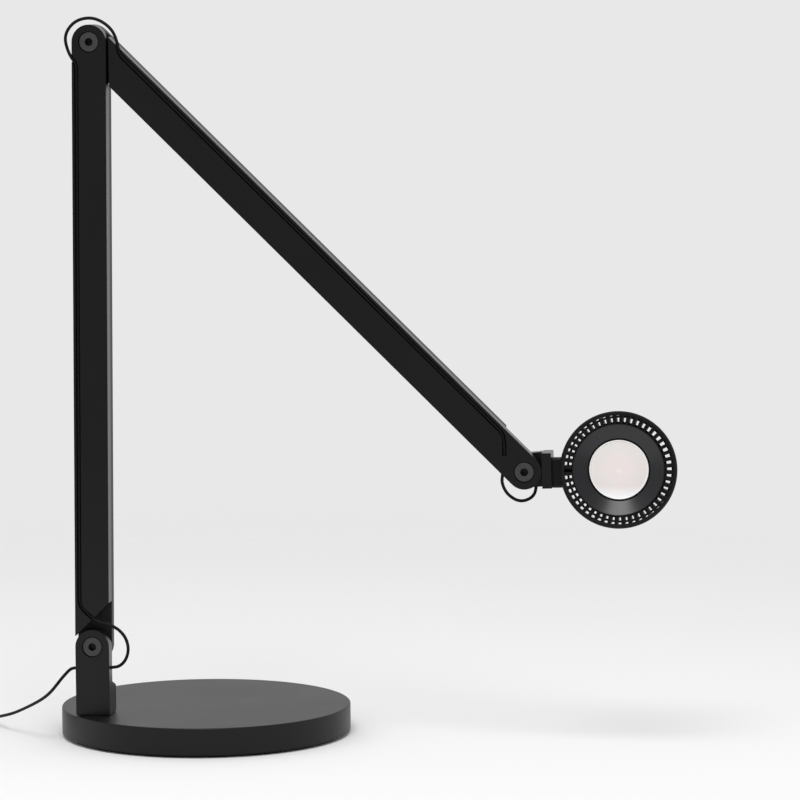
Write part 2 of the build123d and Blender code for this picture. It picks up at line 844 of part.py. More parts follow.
neck_head_thick = shell_wall - running_gap
with BuildPart() as neck_screws:
    with BuildSketch(head_pivot_plane.offset(collar_back - shell_wall)):
        with Locations(*neck_screw_places):
            Circle(neck_screw_head)
    extrude(amount=neck_head_thick)
    with BuildSketch(head_pivot_plane.offset(collar_back - running_gap)):
        with Locations(*neck_screw_places):
            RegularPolygon(shell_screw_radius, 6)
    extrude(amount=-neck_head_thick / 2, mode=Mode.SUBTRACT)
    with BuildSketch(head_pivot_plane.offset(collar_back - shell_wall)):
        with Locations(*neck_screw_places):
            Circle(shell_screw_radius)
    extrude(amount=-(collar_back - shell_wall - stem_axis_depth + neck_screw_grip - running_gap))
pieces["neck_screws"] = neck_screws

# ---- head ------------------------------------------------------------------------------------------
# The head's plane faces the front, turned up a little about the stem, with x along the stem. A
# finned heat sink sits inside a plain rim and holds the light cone, the diffuser and both boards.
head_turn = math.radians(neck_angle)
head_lift = math.radians(head_turn_up)
head_front = Plane(
    origin=(head_centre[0], front_y + stem_axis_depth, head_centre[1]),
    x_dir=(math.cos(head_turn), 0, math.sin(head_turn)),
    z_dir=(
        -math.sin(head_turn) * math.sin(head_lift),
        -math.cos(head_lift),
        math.cos(head_turn) * math.sin(head_lift),
    ),
)
head_axis = Axis(head_front.origin, head_front.z_dir)
head_section = Plane(
    origin=head_front.origin,
    x_dir=head_front.x_dir,
    z_dir=head_front.x_dir.cross(head_front.z_dir),
)


def stem_plane(distance):
    """A plane square to the stem, at a distance from the head's axis towards the neck."""
    return Plane(
        origin=head_front.from_local_coords((-distance, 0, 0)),
        x_dir=head_front.y_dir,
        z_dir=head_front.x_dir,
    )


def turned(*outline):
    """A solid of revolution about the head's axis, from its (radius, height) corners."""
    with BuildPart() as ring:
        with BuildSketch(head_section):
            with BuildLine():
                Polyline(*outline, close=True)
            make_face()
        revolve(axis=head_axis)
    return ring


pieces["head_rim"] = turned(
    (rim_inner_radius, rim_front - rim_thick),
    (head_radius - rim_taper, rim_front - rim_thick),
    (head_radius, rim_front - rim_taper),
    (head_radius - rim_taper, rim_front),
    (rim_inner_radius + rim_taper, rim_front),
    (rim_inner_radius, rim_front - rim_taper),
)

sink_bore = sink_radius - sink_wall
fin_start = sink_radius - sink_wall / 2
fin_end = rim_inner_radius - bore_gap
with BuildPart() as heat_sink:
    with BuildSketch(head_front.offset(-sink_back)):
        Circle(sink_radius)
    extrude(amount=sink_back + sink_front)
    with BuildSketch(head_front):
        Circle(sink_bore)
    extrude(amount=sink_front, mode=Mode.SUBTRACT)
    with BuildSketch(head_front.offset(-sink_web)):
        Circle(sink_bore)
    extrude(amount=-(sink_back - sink_web), mode=Mode.SUBTRACT)
    with BuildSketch(head_front.offset(sink_root_front)):
        Circle(sink_root_radius)
        Circle(fin_start, mode=Mode.SUBTRACT)
    extrude(amount=-sink_root_thick)
    with BuildSketch(head_front.offset(fin_front - fin_depth)):
        with PolarLocations((fin_start + fin_end) / 2, fin_count, 180 / fin_count):
            Rectangle(fin_end - fin_start, fin_thick)
    extrude(amount=fin_depth)
    with BuildSketch(head_front.offset(fin_front - fin_depth)):
        Circle(fin_ring_radius + fin_ring_width / 2)
        Circle(fin_ring_radius - fin_ring_width / 2, mode=Mode.SUBTRACT)
    extrude(amount=-fin_ring_thick)
    with BuildSketch(head_front.offset(-sink_web)):
        with PolarLocations(back_screw_circle_radius, back_screw_count, back_screw_angle):
            Circle(back_post_radius)
    extrude(amount=-(sink_back - sink_web))
    with BuildSketch(head_front.offset(-sink_web)):
        with PolarLocations(driver_post_circle_radius, back_screw_count):
            Circle(back_post_radius)
    extrude(amount=-(driver_board_back - driver_board_thick - sink_web))
    with BuildSketch(head_front.offset(-sink_back)):
        with PolarLocations(back_screw_circle_radius, back_screw_count, back_screw_angle):
            Circle(back_screw_radius)
    extrude(amount=sink_back - sink_web, mode=Mode.SUBTRACT)
    with BuildSketch(stem_plane(head_radius)):
        Circle(spigot_radius + bore_gap)
    extrude(amount=head_radius - sink_bore + sink_wall, mode=Mode.SUBTRACT)
pieces["heat_sink"] = heat_sink

cone_front = sink_front + cone_lip
diffuser_front = cone_front - cone_depth - diffuser_sunk
pieces["light_cone"] = turned(
    (sink_bore, sink_front),
    (sink_radius, sink_front),
    (sink_radius, cone_front),
    (sink_radius - cone_wall / 2, cone_front),
    (cone_inner_radius, cone_front - cone_depth),
    (cone_inner_radius, running_gap),
    (cone_inner_radius + cone_wall, running_gap),
    (cone_inner_radius + cone_wall, cone_front - cone_depth - cone_wall),
    (sink_bore - running_gap, sink_front - cone_wall),
    (sink_bore - running_gap, sink_front),
)

with BuildPart() as diffuser:
    with BuildSketch(head_section):
        with BuildLine():
            Polyline(
                (0, diffuser_front + diffuser_crown),
                (0, diffuser_front - diffuser_thick),
                (cone_inner_radius - bore_gap, diffuser_front - diffuser_thick),
                (cone_inner_radius - bore_gap, diffuser_front - diffuser_thick / 2),
                (diffuser_radius, diffuser_front - diffuser_thick / 2),
                (diffuser_radius, diffuser_front),
            )
            RadiusArc(
                (diffuser_radius, diffuser_front),
                (0, diffuser_front + diffuser_crown),
                -(diffuser_radius**2 + diffuser_crown**2) / (2 * diffuser_crown),
            )
        make_face()
    revolve(axis=head_axis)
pieces["diffuser"] = diffuser

with BuildPart() as led_board:
    with BuildSketch(head_front):
        Circle(led_board_radius)
    extrude(amount=led_board_thick)
    with BuildSketch(head_front.offset(led_board_thick)):
        with PolarLocations(led_circle_radius, led_count):
            Rectangle(led_size, led_size)
    extrude(amount=led_height)
pieces["led_board"] = led_board

with BuildPart() as driver_board:
    with BuildSketch(head_front.offset(-driver_board_back)):
        Circle(driver_board_radius)
    extrude(amount=driver_board_thick)
    with BuildSketch(head_front.offset(-driver_board_back)):
        Rectangle(switch_size, switch_size)
    extrude(amount=-switch_height)
pieces["driver_board"] = driver_board

cover_face = head_front.offset(-sink_back - back_cover_thick)
with BuildPart() as back_cover:
    with BuildSketch(cover_face):
        Circle(sink_radius)
    extrude(amount=back_cover_thick)
    chamfer(back_cover.faces().sort_by(Axis.Y)[-1].edges(), rim_taper)
    with BuildSketch(cover_face):
        Circle(button_radius + bore_gap)
        with PolarLocations(back_screw_circle_radius, back_screw_count, back_screw_angle):
            Circle(back_screw_radius + bore_gap)
    extrude(amount=back_cover_thick, mode=Mode.SUBTRACT)
pieces["back_cover"] = back_cover

with BuildPart() as back_screws:
    with BuildSketch(cover_face):
        with PolarLocations(back_screw_circle_radius, back_screw_count, back_screw_angle):
            Circle(back_screw_head)
    extrude(amount=-back_screw_head / 2)
    with BuildSketch(cover_face):
        with PolarLocations(back_screw_circle_radius, back_screw_count, back_screw_angle):
            Circle(back_screw_radius - bore_gap)
    extrude(amount=back_cover_thick + back_screw_grip)
    with BuildSketch(cover_face.offset(-back_screw_head / 2)):
        with PolarLocations(back_screw_circle_radius, back_screw_count, back_screw_angle):
            RegularPolygon(back_screw_radius, 6)
    extrude(amount=back_screw_head / 4, mode=Mode.SUBTRACT)
pieces["back_screws"] = back_screws

with BuildPart() as power_button:
    with BuildSketch(cover_face.offset(-button_proud)):
        Circle(button_radius)
    extrude(amount=button_proud + back_cover_thick)
    fillet(power_button.faces().sort_by(Axis.Y)[-1].edges(), button_proud / 3)
    with BuildSketch(head_front.offset(-sink_back)):
        Circle(button_radius + button_flange)
    extrude(amount=button_flange_thick)
pieces["power_button"] = power_button

# ---- stem ------------------------------------------------------------------------------------------
# A flanged spindle in the collar, a block that meets the rim, and a tube that carries the wires on.
stem_reach = head_offset - collar_end - running_gap
flange_reach = head_offset - flange_start - running_gap
with BuildPart() as head_stem:
    with BuildSketch(stem_plane(stem_reach)):
        with Locations((-stem_drop, 0)):
            RectangleRounded(stem_height, stem_depth, stem_edge)
    extrude(amount=stem_reach - rim_inner_radius)
    with BuildSketch(head_front.offset(-stem_depth)):
        Circle(head_radius + bore_gap)
    extrude(amount=2 * stem_depth, mode=Mode.SUBTRACT)
    with BuildSketch(stem_plane(flange_reach)):
        Circle(stem_flange_radius)
    extrude(amount=stem_flange_thick)
    with BuildSketch(stem_plane(flange_reach)):
        Circle(stem_spindle_radius)
    extrude(amount=flange_reach - stem_reach)
    with BuildSketch(stem_plane(stem_reach)):
        Circle(spigot_radius)
    extrude(amount=stem_reach - sink_bore + sink_wall / 2)
    with BuildSketch(stem_plane(flange_reach)):
        Circle(wire_hole_radius)
    extrude(amount=flange_reach - sink_bore + sink_wall, mode=Mode.SUBTRACT)
pieces["head_stem"] = head_stem

# ---- lead ------------------------------------------------------------------------------------------
# One thin lead runs from the adapter through the bracket, up the grooves of both arms and into the
# neck. At each joint it leaves its groove in a loop that lets the joint turn.


def corner_radii(points):
    """The largest arc that the runs beside each corner allow."""
    radii = []
    for before, corner, after in zip(points, points[1:], points[2:]):
        run_in = Vector(*corner) - Vector(*before)
        run_out = Vector(*after) - Vector(*corner)
        half_turn = math.radians(run_in.get_angle(run_out) / 2)
        radii.append(0.45 * min(run_in.length, run_out.length) / math.tan(half_turn))
    return radii


def lead(name, points):
    """A stretch of the lead along straight runs joined by tangent arcs."""
    radii = corner_radii(points)
    with BuildLine() as route:
        FilletPolyline(*points, radius=radii)
    path = route.wires()[0]
    stretch = tube(path, lead_radius)
    share = stretch.part.volume / (math.pi * lead_radius**2 * path.length)
    print(name, "length", round(path.length, 1), "volume over section times length", round(share, 3))
    print("  radii", *[round(radius, 1) for radius in radii])
    pieces[name] = stretch


def beside(pivot, x, z, depth):
    """The point at x and z from a pivot, at a depth behind the front face."""
    return (pivot[0] + x, front_y + depth, pivot[1] + z)


def groove_path(name, pivot, angle):
    """The line of the lead in an arm's groove."""
    with BuildLine() as route:
        points = [on_link(pivot, angle, *point, lead_depth) for point in groove_points(name, 0)]
        FilletPolyline(*points, radius=groove_radius)
    return route.wires()[0]


lower_groove = groove_path("lower", lower_pivot, lower_angle)
upper_groove = groove_path("upper", elbow_pivot, upper_angle)
pieces["lead_lower_arm"] = tube(lower_groove, lead_radius)
pieces["lead_upper_arm"] = tube(upper_groove, lead_radius)

bottom_loop = [
    beside(lower_pivot, -half_width, -bracket_lead_drop, plate_thick / 2),
    beside(lower_pivot, 14.8, -bracket_lead_drop, plate_thick / 2),
    beside(lower_pivot, 22.6, -13.4, 4.8),
    beside(lower_pivot, 27.1, -4.6, 3.6),
    beside(lower_pivot, 26.3, 5.2, 2.6),
    beside(lower_pivot, 21.0, 12.8, 2.0),
    beside(lower_pivot, 12.6, 17.4, 1.6),
    lower_groove @ 0 - (lower_groove % 0) * bottom_run_in,
    lower_groove @ 0,
]
lead("lead_bottom_loop", [Vector(point) for point in bottom_loop])

elbow_loop = [
    lower_groove @ 1,
    lower_groove @ 1 + (lower_groove % 1) * elbow_run_out,
    beside(elbow_pivot, -18.8, 4.9, lead_depth),
    beside(elbow_pivot, -11.0, 15.6, lead_depth),
    beside(elbow_pivot, 1.9, 18.5, lead_depth),
    beside(elbow_pivot, 12.9, 13.6, lead_depth),
    upper_groove @ 0 - (upper_groove % 0) * elbow_run_in,
    upper_groove @ 0,
]
lead("lead_elbow_loop", [Vector(point) for point in elbow_loop])

head_loop = [
    upper_groove @ 1,
    on_link(elbow_pivot, upper_angle, *dive_mouth, lead_depth),
    on_link(elbow_pivot, upper_angle, *dive_exit, dive_exit_depth),
    beside(head_pivot, -17.4, -9.0, 7.6),
    beside(head_pivot, -13.6, -17.7, 9.5),
    beside(head_pivot, -4.6, -23.6, 11.9),
    beside(head_pivot, 4.4, -20.9, 14.0),
    on_link(head_pivot, neck_angle, neck_hole_along, half_width + neck_lead_run_in, tongue_middle),
    on_link(head_pivot, neck_angle, neck_hole_along, neck_hole_across, tongue_middle),
]
lead("lead_head_loop", [Vector(point) for point in head_loop])

# ---- coil ------------------------------------------------------------------------------------------
# The spare length is wound in layers that spiral in and out again, each on top of the last.
coil_outer_radius = coil_inner_radius + coil_turns * coil_pitch


def coil_place(turns):
    """The radius and height of the coil after a number of turns."""
    layer = min(int(turns / coil_turns), coil_layers - 1)
    past = turns - layer * coil_turns
    radius = coil_inner_radius + coil_pitch * (past if layer % 2 else coil_turns - past)
    height = lead_radius + layer * coil_pitch
    reversal = round(turns / coil_turns)
    off = turns - reversal * coil_turns
    if 0 < reversal < coil_layers and abs(off) < 0.25:
        ease = coil_pitch * (2 * off**2 + 0.125)
        radius = coil_inner_radius + ease if reversal % 2 else coil_outer_radius - ease
        height = lead_radius + coil_pitch * (reversal - 0.5 + math.sin(2 * math.pi * off) / 2)
    return radius, height


def coil_point(turns):
    """The point on the coil's centre line after a number of turns."""
    radius, height = coil_place(turns)
    angle = math.radians(coil_angle) + 2 * math.pi * turns
    return Vector(coil_x + radius * math.cos(angle), coil_y + radius * math.sin(angle), height)


def coil_heading(turns):
    """The direction of the coil's centre line after a number of turns."""
    step = 0.001
    return (coil_point(turns + step) - coil_point(turns - step)).normalized()


def least_gap(path, radius, apart):
    """The least gap between stretches of a tube that lie at least a given length apart along it."""
    count = int(path.length / radius)
    places = [tuple(path @ (step / count)) for step in range(count + 1)]
    skip = int(apart / radius)
    nearest = min(
        math.dist(place, other)
        for index, place in enumerate(places)
        for other in places[index + skip :]
    )
    return nearest - 2 * radius


steps = [step / 4 for step in range(int(4 * coil_layers * coil_turns) + 1)]
coil_points = [coil_point(turns) for turns in steps]
coil_headings = [coil_heading(turns) for turns in steps]
coil_headings[0] = Vector(coil_headings[0].X, coil_headings[0].Y, 0).normalized()
coil_headings[-1] = Vector(coil_headings[-1].X, coil_headings[-1].Y, 0).normalized()
coil_start = coil_points[0] - coil_headings[0] * 2 * lead_radius
coil_end = coil_points[-1] + coil_headings[-1] * coil_tail
winding = smooth_path(coil_points, coil_headings)
with BuildLine() as coil_line:
    Line(coil_start, coil_points[0])
    add(winding.edges())
    Line(coil_points[-1], coil_end)
coil_path = coil_line.wires()[0]
pieces["lead_coil"] = tube(coil_path, lead_radius)
coil_share = pieces["lead_coil"].part.volume / (math.pi * lead_radius**2 * coil_path.length)
print("lead_coil length", round(coil_path.length, 1), "volume", round(coil_share, 3))
print("  least gap", round(least_gap(coil_path, lead_radius, math.pi * coil_inner_radius), 2))

# The free end slopes down from the bracket to the table and meets the coil.
free_lead = [
    bottom_loop[0],
    beside(lower_pivot, -15.75, -bracket_lead_drop, plate_thick / 2),
    beside(lower_pivot, -18.7, -18.3, 5.6),
    beside(lower_pivot, -21.8, -21.6, 5.9),
    beside(lower_pivot, -25.0, -25.1, 6.3),
    beside(lower_pivot, -29.2, -30.3, 7.5),
    beside(lower_pivot, -33.5, -35.4, 9.9),
    beside(lower_pivot, -39.2, -40.6, 13.9),
    beside(lower_pivot, -47.6, -46.3, 21.9),
    beside(lower_pivot, -60.3, -53.7, 35.9),
    beside(lower_pivot, -73.5, -60.8, 51.9),
    beside(lower_pivot, -86.6, -65.8, 66.9),
    beside(lower_pivot, -100.8, -72.5, 94.4),
    coil_start - coil_headings[0] * coil_run_in,
    coil_start,
]
lead("lead_free", [Vector(point) for point in free_lead])

# ---- adapter ----------------------------------------------------------------------------------------
# A moulded plug adapter with a tapered relief for the lead and two round pins.
along_tail = coil_headings[-1]
relief_plane = Plane(origin=coil_end, x_dir=(0, 0, 1), z_dir=along_tail)
block_start = coil_end + along_tail * relief_length
block_middle = Vector(block_start.X, block_start.Y, adapter_height / 2)
block_plane = Plane(origin=block_middle, x_dir=(0, 0, 1), z_dir=along_tail)
with BuildPart() as adapter:
    with BuildSketch(block_plane):
        Rectangle(adapter_height, adapter_width)
    extrude(amount=adapter_length)
    fillet(adapter.edges(), adapter_edge)
    with BuildSketch(relief_plane):
        Circle(relief_start_radius)
    with BuildSketch(relief_plane.offset(relief_length + adapter_edge)):
        Circle(relief_radius)
    loft()
    with BuildSketch(block_plane.offset(adapter_length)):
        with Locations((0, pin_spacing / 2), (0, -pin_spacing / 2)):
            Circle(pin_radius)
    extrude(amount=-pin_grip, mode=Mode.SUBTRACT)
pieces["adapter"] = adapter

with BuildPart() as adapter_pins:
    with BuildSketch(block_plane.offset(adapter_length - pin_grip)):
        with Locations((0, pin_spacing / 2), (0, -pin_spacing / 2)):
            Circle(pin_radius)
    extrude(amount=pin_grip + pin_length)
    chamfer(adapter_pins.edges().filter_by(GeomType.CIRCLE), pin_radius / 4)
pieces["adapter_pins"] = adapter_pins

# ---- write the files ---------------------------------------------------------------------------------
os.makedirs("parts", exist_ok=True)
for name, piece in pieces.items():
    piece.part.label = name
    export_step(piece.part, f"parts/{name}.step")
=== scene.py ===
import json
import math

import bpy
from mathutils import Matrix, Vector


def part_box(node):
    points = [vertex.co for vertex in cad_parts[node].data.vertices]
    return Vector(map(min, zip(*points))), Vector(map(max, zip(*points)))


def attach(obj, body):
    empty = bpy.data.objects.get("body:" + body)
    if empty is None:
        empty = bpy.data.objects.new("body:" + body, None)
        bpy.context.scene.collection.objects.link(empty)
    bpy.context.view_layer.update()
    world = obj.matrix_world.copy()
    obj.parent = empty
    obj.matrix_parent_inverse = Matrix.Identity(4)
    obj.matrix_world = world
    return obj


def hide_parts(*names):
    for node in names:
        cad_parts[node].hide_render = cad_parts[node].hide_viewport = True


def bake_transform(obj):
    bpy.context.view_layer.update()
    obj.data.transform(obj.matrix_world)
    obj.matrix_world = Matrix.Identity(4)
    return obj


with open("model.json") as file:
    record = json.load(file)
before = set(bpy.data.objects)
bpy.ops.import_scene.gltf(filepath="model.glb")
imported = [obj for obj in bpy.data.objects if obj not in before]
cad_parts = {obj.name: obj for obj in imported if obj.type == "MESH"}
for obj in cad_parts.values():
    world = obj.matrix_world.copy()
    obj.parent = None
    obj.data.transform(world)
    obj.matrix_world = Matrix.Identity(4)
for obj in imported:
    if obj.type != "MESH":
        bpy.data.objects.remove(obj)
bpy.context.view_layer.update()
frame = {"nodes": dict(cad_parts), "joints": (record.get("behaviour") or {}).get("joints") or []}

scene = bpy.context.scene
scene.view_settings.view_transform = "Standard"

# ---- Camera --------------------------------------------------------------------------------------
# A long lens a little above the lamp and to its right, as the photograph was taken.
# Its place and turns were fitted to the base's rim, the three pivots and the head.
camera_place = (0.5359, -2.9958, 0.5565)
camera_heading = math.radians(7.329)
camera_tilt = math.radians(5.688)
camera_roll = math.radians(-0.398)
focal_length = 181.36  # millimetres, with a sensor 36 mm wide

camera = bpy.data.objects.new("studio_camera", bpy.data.cameras.new("studio_camera"))
scene.collection.objects.link(camera)
camera.data.sensor_width = 36
camera.data.lens = focal_length
aim = (
    Matrix.Rotation(camera_heading, 3, "Z")
    @ Matrix.Rotation(math.pi / 2 - camera_tilt, 3, "X")
    @ Matrix.Rotation(camera_roll, 3, "Z")
)
camera.matrix_world = Matrix.LocRotScale(Vector(camera_place), aim, None)
scene.camera = camera


# ---- Lead: the free end --------------------------------------------------------------------------
# A limp two-core low-voltage lead, 2.4 mm across, with a smooth extruded PVC jacket. It leaves the
# bracket through a hole, slopes to the table beside the base and ends in a neat coil.
def linear(hex_colour):
    """An sRGB colour such as #1c1c1e as linear red, green, blue and alpha."""
    channels = [int(hex_colour[start : start + 2], 16) / 255 for start in (1, 3, 5)]
    return (*[c / 12.92 if c <= 0.04045 else ((c + 0.055) / 1.055) ** 2.4 for c in channels], 1)


def add_node(material, kind, settings, links={}):
    """Adds a shader node with its settings, and its links as input: (node, output)."""
    made = material.node_tree.nodes.new("ShaderNode" + kind)
    sockets = {socket.identifier: socket for socket in made.inputs}
    for name, value in settings.items():
        if name in sockets:
            sockets[name].default_value = value
        else:
            setattr(made, name, value)
    for name, (source, output) in links.items():
        outputs = {socket.identifier: socket for socket in source.outputs}
        material.node_tree.links.new(outputs[output], sockets[name])
    return made


def new_material(name):
    """An empty node material, and the coordinates that lie still on the piece in metres."""
    material = bpy.data.materials.new(name)
    material.use_nodes = True
    material.node_tree.nodes.clear()
    return material, (add_node(material, "TexCoord", {}), "Object")


# PVC jacket: extruded, so smooth along its length, with a soft sheen and faint handling marks.
pvc_jacket, place = new_material("extruded_pvc_jacket")
mark_size = 0.006
handling = add_node(pvc_jacket, "TexNoise", {"Scale": 1 / mark_size, "Detail": 3.0}, {"Vector": place})
sheen_change = add_node(
    pvc_jacket, "MapRange", {"To Min": 0.42, "To Max": 0.58}, {"Value": (handling, "Fac")}
)
jacket_surface = add_node(
    pvc_jacket,
    "BsdfPrincipled",
    {"Base Color": linear("#0c0c0d"), "IOR": 1.53, "Specular IOR Level": 0.14},
    {"Roughness": (sheen_change, "Result")},
)
add_node(pvc_jacket, "OutputMaterial", {}, {"Surface": (jacket_surface, "BSDF")})

lead_diameter = 0.0024
steps_per_point = 4


def lead_tube(name, points, steps):
    """A round tube along a smooth line through the route's points, and the line's own points."""
    curve = bpy.data.curves.new(name, "CURVE")
    curve.dimensions = "3D"
    curve.resolution_u = steps
    spline = curve.splines.new("NURBS")
    spline.points.add(len(points) - 1)
    for control, point in zip(spline.points, points):
        control.co = (*point, 1)
    spline.order_u = 3
    spline.use_endpoint_u = True
    route = bpy.data.objects.new(name, curve)
    line = bpy.data.meshes.new_from_object(route)
    path = [vertex.co.copy() for vertex in line.vertices]
    curve.bevel_depth = lead_diameter / 2
    curve.bevel_resolution = 4
    curve.use_fill_caps = True
    mesh = bpy.data.meshes.new_from_object(route)
    mesh.shade_smooth()
    mesh.materials.clear()
    mesh.materials.append(pvc_jacket)
    bpy.data.objects.remove(route)
    tube = bpy.data.objects.new(name, mesh)
    scene.collection.objects.link(tube)
    return tube, path


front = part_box("bracket")[0].y
pivots = {joint["name"]: Vector(joint["pos_m"]) for joint in frame["joints"] if "pos_m" in joint}


def beside(pivot, x, z, depth):
    """The place at x and z from a pivot, at a depth behind the front face."""
    return Vector((pivots[pivot].x + x, front + depth, pivots[pivot].z + z))


half_width = 0.01285  # of the arms and the bracket
bracket_lead_drop = 0.0168
bracket_middle = 0.0055
# The route is straight out of the bracket's hole, then bends down and back to the table.
free_route = [
    beside("lower_tilt", -half_width, -bracket_lead_drop, bracket_middle),
    beside("lower_tilt", -0.01575, -bracket_lead_drop, bracket_middle),
    beside("lower_tilt", -0.0187, -0.0183, 0.0056),
    beside("lower_tilt", -0.0218, -0.0216, 0.0059),
    beside("lower_tilt", -0.0250, -0.0251, 0.0063),
    beside("lower_tilt", -0.0292, -0.0303, 0.0075),
    beside("lower_tilt", -0.0335, -0.0354, 0.0099),
    beside("lower_tilt", -0.0392, -0.0406, 0.0139),
    beside("lower_tilt", -0.0476, -0.0463, 0.0219),
    beside("lower_tilt", -0.0603, -0.0537, 0.0359),
    beside("lower_tilt", -0.0735, -0.0608, 0.0519),
    beside("lower_tilt", -0.0866, -0.0658, 0.0669),
    beside("lower_tilt", -0.1008, -0.0725, 0.0944),
]

# The coil spirals in and out in four layers, and climbs one layer wherever the spiral turns back.
coil_centre = Vector((-0.2272, 0.0607, 0))
coil_pitch = 0.00295
coil_layers = 4
layer_turns = 4.375
climb_turns = 0.25  # on each side of a turning back
coil_inner_radius = 0.0074
coil_outer_radius = coil_inner_radius + coil_pitch * layer_turns
coil_start_angle = math.radians(41)
points_per_turn = 24
approach_run = 0.0200
coil_tail = 0.012


def coil_point(turns):
    """The place of the coil's centre line after a number of turns."""
    layer = min(int(turns / layer_turns), coil_layers - 1)
    past = turns - layer * layer_turns
    radius = coil_inner_radius + coil_pitch * (past if layer % 2 else layer_turns - past)
    height = lead_diameter / 2 + layer * coil_pitch
    reversal = round(turns / layer_turns)
    off = turns - reversal * layer_turns
    if 0 < reversal < coil_layers and abs(off) < climb_turns:
        ease = coil_pitch * (off**2 / climb_turns + climb_turns) / 2
        radius = coil_inner_radius + ease if reversal % 2 else coil_outer_radius - ease
        climb = math.sin(math.pi / 2 * off / climb_turns) / 2
        height = lead_diameter / 2 + coil_pitch * (reversal - 0.5 + climb)
    angle = coil_start_angle + 2 * math.pi * turns
    return coil_centre + Vector((radius * math.cos(angle), radius * math.sin(angle), height))


coil_steps = int(points_per_turn * coil_layers * layer_turns)
coil_route = [coil_point(step / points_per_turn) for step in range(coil_steps + 1)]
start_heading = (coil_route[1] - coil_route[0]).normalized()
end_heading = (coil_route[-1] - coil_route[-2]).normalized()
full_route = [
    *free_route,
    coil_route[0] - start_heading * approach_run,
    *coil_route,
    coil_route[-1] + end_heading * coil_tail,
]
free_lead, free_path = lead_tube("table_lead", full_route, steps_per_point)
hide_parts("lead_free", "lead_coil")
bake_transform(free_lead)

# ---- Lead: along the lamp ------------------------------------------------------------------------
# The same lead is pressed into a groove in each arm's front. At every pivot it leaves the groove
# in a loop, which gives the joint the length that it needs to turn.
neck_axis = next(joint["axis"] for joint in frame["joints"] if joint["name"] == "head_swivel")
directions = {
    "lower_tilt": (pivots["elbow"] - pivots["lower_tilt"]).normalized(),
    "elbow": (pivots["head_tilt"] - pivots["elbow"]).normalized(),
    "head_tilt": Vector(neck_axis),
}
groove_depth = 0.0015
arm_length = (pivots["elbow"] - pivots["lower_tilt"]).length


def on_link(pivot, along, across, depth):
    """The place along and across the link that starts at a pivot, at a depth behind its front."""
    run = directions[pivot]
    x = pivots[pivot].x + along * run.x + across * run.z
    z = pivots[pivot].z + along * run.z - across * run.x
    return Vector((x, front + depth, z))


groove_line = -0.00945
lower_groove = [
    on_link("lower_tilt", 0.02159, 0.00081, groove_depth),
    on_link("lower_tilt", 0.0302, groove_line, groove_depth),
    on_link("lower_tilt", 0.0414, groove_line, groove_depth),
    on_link("lower_tilt", arm_length - 0.0245, groove_line, groove_depth),
    on_link("lower_tilt", arm_length - 0.0169, groove_line, groove_depth),
    on_link("lower_tilt", arm_length - 0.01204, -half_width, groove_depth),
]
upper_groove = [
    on_link("elbow", 0.01774, -half_width, groove_depth),
    on_link("elbow", 0.0226, groove_line, groove_depth),
    on_link("elbow", 0.0302, groove_line, groove_depth),
    on_link("elbow", arm_length - 0.0398, groove_line, groove_depth),
    on_link("elbow", arm_length - 0.0299, groove_line, groove_depth),
    on_link("elbow", arm_length - 0.02099, -0.00054, groove_depth),
]
groove_steps = 12
for body, route in (("lower_arm", lower_groove), ("upper_arm", upper_groove)):
    stretch, _ = lead_tube(f"groove_lead_{body}", route, groove_steps)
    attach(stretch, body)
    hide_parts(f"lead_{body}")

loop_steps = 12
lower_entry = (lower_groove[1] - lower_groove[0]).normalized()
bottom_route = [
    beside("lower_tilt", -half_width, -bracket_lead_drop, bracket_middle),
    beside("lower_tilt", 0.0148, -bracket_lead_drop, bracket_middle),
    beside("lower_tilt", 0.0226, -0.0134, 0.0048),
    beside("lower_tilt", 0.0271, -0.0046, 0.0036),
    beside("lower_tilt", 0.0263, 0.0052, 0.0026),
    beside("lower_tilt", 0.0210, 0.0128, 0.0020),
    beside("lower_tilt", 0.0126, 0.0174, 0.0016),
    lower_groove[0] - lower_entry * 0.0045,
    lower_groove[0],
]
bottom_loop, _ = lead_tube("bottom_loop", bottom_route, loop_steps)
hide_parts("lead_bottom_loop")
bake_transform(bottom_loop)

lower_exit = (lower_groove[5] - lower_groove[4]).normalized()
upper_entry = (upper_groove[1] - upper_groove[0]).normalized()
elbow_route = [
    lower_groove[5],
    lower_groove[5] + lower_exit * 0.0050,
    beside("elbow", -0.0188, 0.0049, groove_depth),
    beside("elbow", -0.0110, 0.0156, groove_depth),
    beside("elbow", 0.0019, 0.0185, groove_depth),
    beside("elbow", 0.0129, 0.0136, groove_depth),
    upper_groove[0] - upper_entry * 0.0085,
    upper_groove[0],
]
elbow_loop, _ = lead_tube("elbow_loop", elbow_route, loop_steps)
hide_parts("lead_elbow_loop")
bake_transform(elbow_loop)

dive = (upper_groove[5] - upper_groove[4]).normalized()
dive_mouth = upper_groove[5] + dive * 0.0026
dive_exit = on_link("elbow", arm_length - 0.00955, half_width + 0.0012, 0.0060)
head_route = [
    upper_groove[5],
    dive_mouth,
    dive_exit,
    beside("head_tilt", -0.0174, -0.0090, 0.0076),
    beside("head_tilt", -0.0136, -0.0177, 0.0095),
    beside("head_tilt", -0.0046, -0.0236, 0.0119),
    beside("head_tilt", 0.0044, -0.0209, 0.0140),
    on_link("head_tilt", 0.0076, half_width + 0.0015, 0.01545),
    on_link("head_tilt", 0.0076, 0.0030, 0.01545),
]
head_loop, _ = lead_tube("head_loop", head_route, loop_steps)
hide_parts("lead_head_loop")
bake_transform(head_loop)


# ---- Plug adapter --------------------------------------------------------------------------------
# A small wall adapter in black moulded ABS with a soft tapered relief for the lead. Its two round
# pins are brass with a nickel plating.
def dress(material, *names):
    """Gives modelled pieces their finish."""
    for name in names:
        frame["nodes"][name].data.materials.clear()
        frame["nodes"][name].data.materials.append(material)


